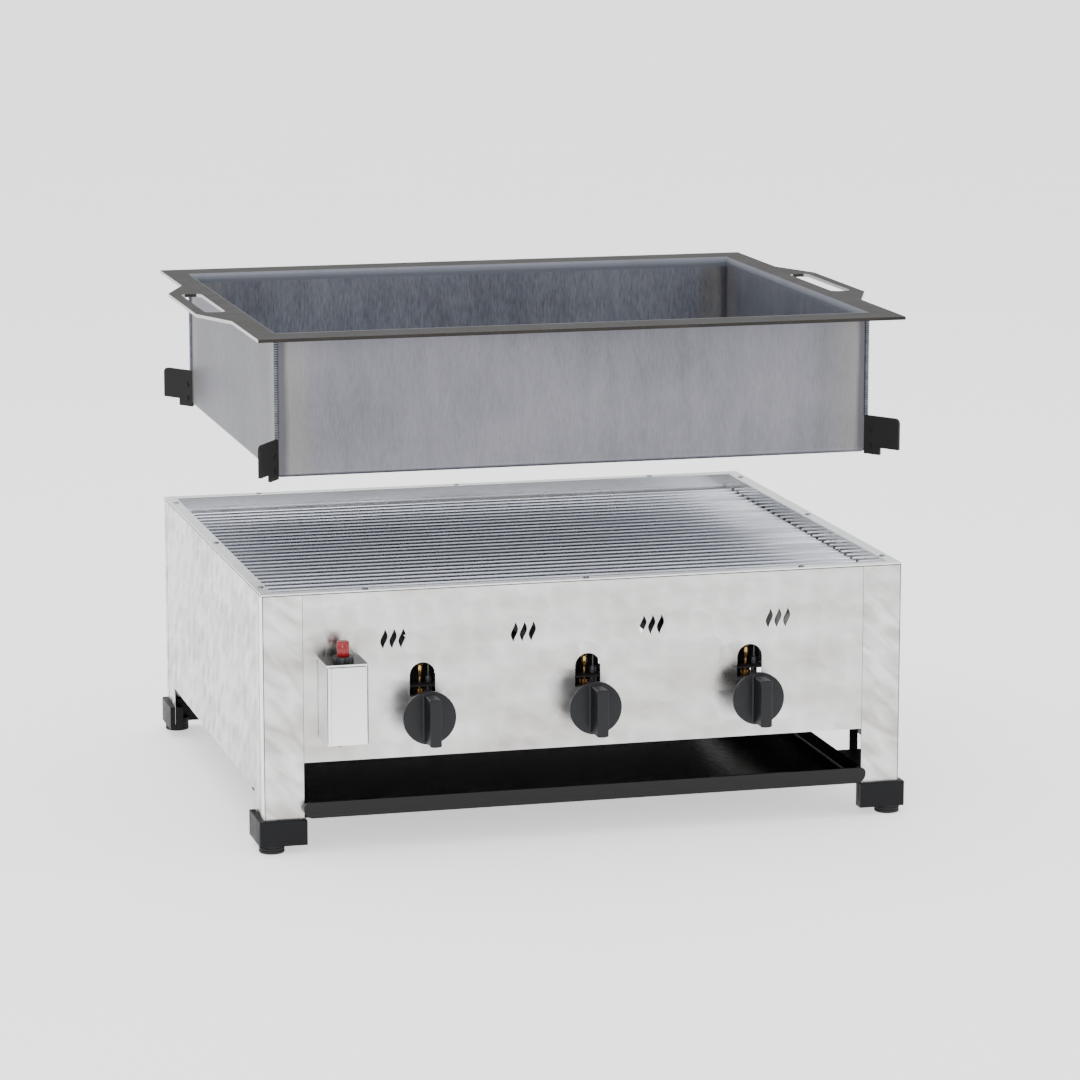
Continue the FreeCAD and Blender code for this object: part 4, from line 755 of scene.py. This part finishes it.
sleeve, tree, shader, place = new_finish("printed_cell_sleeve", IOR=1.5, Coat_Weight=0.3)
height = put(tree, "ShaderNodeSeparateXYZ", links={0: place}).outputs[2]
cell_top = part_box("igniter_battery")[1].z
band = put(tree, "ShaderNodeMath",
           {"operation": "GREATER_THAN"}, {0: height, 1: cell_top - 14.0 * MM})
metal = put(tree, "ShaderNodeMath",
            {"operation": "GREATER_THAN"}, {0: height, 1: cell_top - 1.3 * MM})
grain = put(tree, "ShaderNodeTexNoise", links={"Vector": place, "Scale": 1 / (2 * MM)})
tint = put(tree, "ShaderNodeMix", {"data_type": "RGBA"},
           {0: band.outputs[0], 6: linear("2B3A55"), 7: linear("C7A03A")})
haze = put(tree, "ShaderNodeMapRange", links={0: grain.outputs["Fac"], 3: 0.2, 4: 0.35}).outputs[0]
tree.links.new(metal.outputs[0], shader.inputs["Metallic"])
surface(tree, shader, tint.outputs[2], haze)
dress(sleeve, "igniter_battery")


# ------------------------------------------------------------------ igniter button
# A deep red polycarbonate cap, glossy and faintly cloudy, with a small chamfer round its flat
# top. It slides in the barrel's neck.
red = patchy("red_polycarbonate", 4, 2.0, "6E0A10", "96121B", (0.16, 0.3), IOR=1.58,
             Specular_IOR_Level=0.4)
SKIRT_L = 14.0
STEM_R = 4.1
CAP_R = 5.75
low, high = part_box("igniter_button")
tall = (high.z - low.z) / MM
# a stem, then the cap with a shallow finger groove: (radius, height) in mm from the stem's end
cap = ((0.0, 0.0), (STEM_R, 0.0), (STEM_R, tall - SKIRT_L), (CAP_R - 0.15, tall - SKIRT_L),
       (CAP_R, tall - SKIRT_L + 0.2), (CAP_R, tall - 3.4), (CAP_R - 0.15, tall - 3.2),
       (CAP_R - 0.15, tall - 2.8), (CAP_R, tall - 2.6), (5.7, tall - 1.1), (5.4, tall - 0.45),
       (4.8, tall - 0.1), (4.0, tall), (3.4, tall - 0.12), (0.0, tall - 0.3))
middle = (low + high) / 2
button = make_piece("red_push_cap", [turned(cap, (middle.x, middle.y, low.z), (0, 0, 1), 64)], red,
                    "igniter_button", sharp=40.0)
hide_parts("igniter_button")


# ------------------------------------------------------------------ igniter screw
# A small blackened cross-head screw that pins the housing from below. Oil left from the blacking
# clouds it, so it shows as one dark dot.
black_screw = patchy("blackened_screw", 1, 3.0, "1E1E20", "4A4A4C", Metallic=1.0, Roughness=0.4)
dress(black_screw, "igniter_screw")


# ------------------------------------------------------------------ pan
# The tub is folded from 3 mm raw mild steel. Its outside keeps a cool grey mill skin with short
# upright grain; inside it is darker and bluer, and near every weld the heat has tinted it.
raw, tree, shader, place = new_finish("raw_rolled_steel", Metallic=0.72, Anisotropic=0.25)
axes = put(tree, "ShaderNodeSeparateXYZ", links={0: place})
low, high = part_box("pan_tub")
wall = 3 * MM
# 1 within the inside faces, 0 on the outside ones
in_x = put(tree, "ShaderNodeMath", {"operation": "ABSOLUTE"}, {0: axes.outputs[0]}).outputs[0]
in_y = put(tree, "ShaderNodeMath", {"operation": "ABSOLUTE"}, {0: axes.outputs[1]}).outputs[0]
past_x = put(tree, "ShaderNodeMath",
             {"operation": "LESS_THAN"}, {0: in_x, 1: high.x - wall / 2}).outputs[0]
past_y = put(tree, "ShaderNodeMath",
             {"operation": "LESS_THAN"}, {0: in_y, 1: high.y - wall / 2}).outputs[0]
past_z = put(tree, "ShaderNodeMath", {"operation": "GREATER_THAN"},
             {0: axes.outputs[2], 1: low.z + wall / 2}).outputs[0]
inside = put(tree, "ShaderNodeMath", {"operation": "MULTIPLY"}, {0: past_x, 1: past_y}).outputs[0]
inside = put(tree, "ShaderNodeMath", {"operation": "MULTIPLY"}, {0: inside, 1: past_z}).outputs[0]
# upright grain: marks about 1.5 mm wide and 9 mm long
tall = put(tree, "ShaderNodeMapping", links={"Vector": place, "Scale": (1.0, 1.0, 0.17)}).outputs[0]
grain = put(tree, "ShaderNodeTexNoise",
            links={"Vector": tall, "Scale": 1 / (1.5 * MM), "Detail": 3.0,
                                              "Roughness": 0.6}).outputs["Fac"]
streak = put(tree, "ShaderNodeTexNoise",
             links={"Vector": tall, "Scale": 1 / (14 * MM), "Detail": 4.0}).outputs["Fac"]
cloud = put(tree, "ShaderNodeTexNoise",
            links={"Vector": place, "Scale": 1 / (95 * MM), "Detail": 4.0}).outputs["Fac"]
mixed = put(tree, "ShaderNodeMath",
            {"operation": "MULTIPLY_ADD"}, {0: streak, 1: 0.5, 2: cloud}).outputs[0]
mixed = put(tree, "ShaderNodeMath",
            {"operation": "MULTIPLY_ADD"}, {0: grain, 1: 0.95, 2: mixed}).outputs[0]
level = put(tree, "ShaderNodeMapRange", links={0: mixed, 1: 0.9, 2: 1.55}).outputs[0]
outer_skin = put(tree, "ShaderNodeMix", {"data_type": "RGBA"},
                 {0: level, 6: linear("64646A"), 7: linear("7D7C83")}).outputs[2]
inner_skin = put(tree, "ShaderNodeMix", {"data_type": "RGBA"},
                 {0: level, 6: linear("63656D"), 7: linear("868890")}).outputs[2]
# the outer faces of the two end walls are painted darker
darker_end_faces = put(tree, "ShaderNodeMath",
           {"operation": "GREATER_THAN"}, {0: in_x, 1: high.x - wall / 4}).outputs[0]
darker_end_faces = put(tree, "ShaderNodeMath", {"operation": "MULTIPLY"}, {0: darker_end_faces, 1: 0.4}).outputs[0]
outer_skin = put(tree, "ShaderNodeMix", {"data_type": "RGBA"},
                 {0: darker_end_faces, 6: outer_skin, 7: linear("3A3A42")}).outputs[2]
skin = put(tree, "ShaderNodeMix",
           {"data_type": "RGBA"}, {0: inside, 6: outer_skin, 7: inner_skin}).outputs[2]
# distance to the nearest upright weld, in metres, wavering by a few millimetres
to_x = put(tree, "ShaderNodeMath", {"operation": "SUBTRACT"}, {0: high.x, 1: in_x}).outputs[0]
to_y = put(tree, "ShaderNodeMath", {"operation": "SUBTRACT"}, {0: high.y, 1: in_y}).outputs[0]
to_weld = put(tree, "ShaderNodeMath", {"operation": "MAXIMUM"}, {0: to_x, 1: to_y}).outputs[0]
wander = put(tree, "ShaderNodeMath",
             {"operation": "MULTIPLY_ADD"}, {0: streak, 1: 10 * MM, 2: to_weld}).outputs[0]
brown = put(tree, "ShaderNodeMapRange", links={0: wander, 1: 46 * MM, 2: 18 * MM}).outputs[0]
brown = put(tree, "ShaderNodeMath", {"operation": "MULTIPLY"}, {0: brown, 1: 0.4}).outputs[0]
skin = put(tree, "ShaderNodeMix",
           {"data_type": "RGBA"}, {0: brown, 6: skin, 7: linear("8C867C")}).outputs[2]
dark = put(tree, "ShaderNodeMapRange",
           links={0: wander, 1: 17 * MM, 2: 12 * MM, 4: 0.75}).outputs[0]
skin = put(tree, "ShaderNodeMix",
           {"data_type": "RGBA"}, {0: dark, 6: skin, 7: linear("43444C")}).outputs[2]
# along the bend at the floor, a painted highlight lightens the inside and painted shade darkens the
# outside
band = put(tree, "ShaderNodeMath",
           {"operation": "MULTIPLY_ADD"}, {0: inside, 1: 11 * MM, 2: low.z + 3 * MM})
by_floor = put(tree, "ShaderNodeMath",
               {"operation": "LESS_THAN"}, {0: axes.outputs[2], 1: band.outputs[0]}).outputs[0]
painted_bend_light_and_shade = put(tree, "ShaderNodeMix", {"data_type": "RGBA"},
             {0: inside, 6: linear("5A5C68"), 7: linear("C4C6CC")}).outputs[2]
by_floor = put(tree, "ShaderNodeMath", {"operation": "MULTIPLY"}, {0: by_floor, 1: 0.6}).outputs[0]
skin = put(tree, "ShaderNodeMix",
           {"data_type": "RGBA"}, {0: by_floor, 6: skin, 7: painted_bend_light_and_shade}).outputs[2]
haze = put(tree, "ShaderNodeMapRange", links={0: grain, 1: 0.3, 2: 0.7, 3: 0.36, 4: 0.5}).outputs[0]
relief = put(tree, "ShaderNodeMath",
             {"operation": "MULTIPLY_ADD"}, {0: streak, 1: 1.5, 2: grain}).outputs[0]
surface(tree, shader, skin, haze, relief, 0.3, 0.35)
dress(raw, "pan_tub")


# ------------------------------------------------------------------ pan rim
# The rim keeps its brown-black oiled mill scale; a laser cut its outline and left bare edges, which
# round the handles are painted near-white: the bare metal with a painted highlight.
scaled, tree, shader, place = new_finish("oiled_mill_scale", Specular_IOR_Level=0.18)
facing = put(tree, "ShaderNodeSeparateXYZ",
             links={0: put(tree, "ShaderNodeNewGeometry").outputs["Normal"]}).outputs[0]
sideways = put(tree, "ShaderNodeMath", {"operation": "ABSOLUTE"}, {0: facing}).outputs[0]
scale_skin = put(tree, "ShaderNodeTexNoise",
                 links={"Vector": place, "Scale": 1 / (40 * MM), "Detail": 6.0,
                                                   "Roughness": 0.65}).outputs["Fac"]
speckle = put(tree, "ShaderNodeTexNoise",
              links={"Vector": place, "Scale": 1 / (1.8 * MM), "Detail": 3.0}).outputs["Fac"]
mixed = put(tree, "ShaderNodeMath",
            {"operation": "MULTIPLY_ADD"}, {0: speckle, 1: 0.5, 2: scale_skin}).outputs[0]
level = put(tree, "ShaderNodeMapRange", links={0: mixed, 1: 0.5, 2: 1.0}).outputs[0]
skin = put(tree, "ShaderNodeMix",
           {"data_type": "RGBA"}, {0: level, 6: linear("1F1C1A"), 7: linear("332F2B")}).outputs[2]
# side-facing cut edges beyond the tub are painted near-white: bare cut metal with a painted
# highlight
cut_edge_and_highlight = put(tree, "ShaderNodeMapRange", links={0: sideways, 1: 0.35, 2: 0.5}).outputs[0]
axes = put(tree, "ShaderNodeSeparateXYZ", links={0: place})
in_x = put(tree, "ShaderNodeMath", {"operation": "ABSOLUTE"}, {0: axes.outputs[0]}).outputs[0]
in_y = put(tree, "ShaderNodeMath", {"operation": "ABSOLUTE"}, {0: axes.outputs[1]}).outputs[0]
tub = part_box("pan_tub")[1]
outside = put(tree, "ShaderNodeMath",
              {"operation": "GREATER_THAN"}, {0: in_x, 1: tub.x + 10 * MM}).outputs[0]
cut_edge_and_highlight = put(tree, "ShaderNodeMath",
               {"operation": "MULTIPLY"}, {0: cut_edge_and_highlight, 1: outside}).outputs[0]
skin = put(tree, "ShaderNodeMix",
           {"data_type": "RGBA"}, {0: cut_edge_and_highlight, 6: skin, 7: linear("C9C7C4")}).outputs[2]
# the fold down into the tub is rubbed to the tub's own grey
near_x = put(tree, "ShaderNodeMapRange", links={0: in_x, 1: tub.x + 2 * MM, 2: tub.x}).outputs[0]
near_y = put(tree, "ShaderNodeMapRange",
             links={0: in_y, 1: tub.y + 6 * MM, 2: tub.y + 3 * MM}).outputs[0]
fold = put(tree, "ShaderNodeMath", {"operation": "MULTIPLY"}, {0: near_x, 1: near_y}).outputs[0]
skin = put(tree, "ShaderNodeMix",
           {"data_type": "RGBA"}, {0: fold, 6: skin, 7: linear("6C6E76")}).outputs[2]
fold = put(tree, "ShaderNodeMath", {"operation": "MULTIPLY"}, {0: fold, 1: 0.7}).outputs[0]
tree.links.new(fold, shader.inputs["Metallic"])
haze = put(tree, "ShaderNodeMapRange", links={0: mixed, 1: 0.5, 2: 1.0, 3: 0.5, 4: 0.68}).outputs[0]
surface(tree, shader, skin, haze, mixed, 0.2, 0.2)
dress(scaled, "pan_rim")


# ------------------------------------------------------------------ corner welds
# One pass of weld up each outside corner: a rope of overlapping ripples about 2 mm apart, blued
# in patches by its own heat.
welded = patchy("blued_weld_bead", 7, 4.0, "3A3C46", "7E8188", relief=(0.3, 0.3), Metallic=0.9,
                Roughness=0.32)
low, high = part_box("pan_tub")
bead_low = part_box("corner_welds")[0].z
bead_mm = (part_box("corner_welds")[1].z - bead_low) / MM
RIPPLE_MM = 2.2
ripples = int(bead_mm / RIPPLE_MM)
rope = [(0.0, 0.0)]
# each ripple swells and narrows again: the share of its length gone by, and its radius there
swell = ((0.02, 1.75), (0.3, 2.2), (0.6, 2.35), (0.85, 2.2))
for i in range(ripples):
    rope += [(radius, (i + share) * bead_mm / ripples) for share, radius in swell]
rope.append((0.0, bead_mm))
forms = [turned(rope, (x, y, bead_low), (0, 0, 1), 28)
         for x in (low.x, high.x) for y in (low.y, high.y)]
beads = make_piece("rippled_welds", forms, welded, "pan", sharp=80.0)
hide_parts("corner_welds")


# ------------------------------------------------------------------ corner plates and their pins
# Plates of 3 mm hot-rolled steel, stove-blacked matt, riveted and tacked to the pan's corners.
# Their shoulders stand on the frame. The pins' heads are blacked with them.
blacked = patchy("stove_blacked_steel", 9, 6.0, "0B0B0B", "1C1B1A", (0.45, 0.75), (0.35, 0.3),
                 IOR=1.5, Specular_IOR_Level=0.2)
dress(blacked, "corner_plate_pins", *["corner_plate_" + corner for corner in corners])
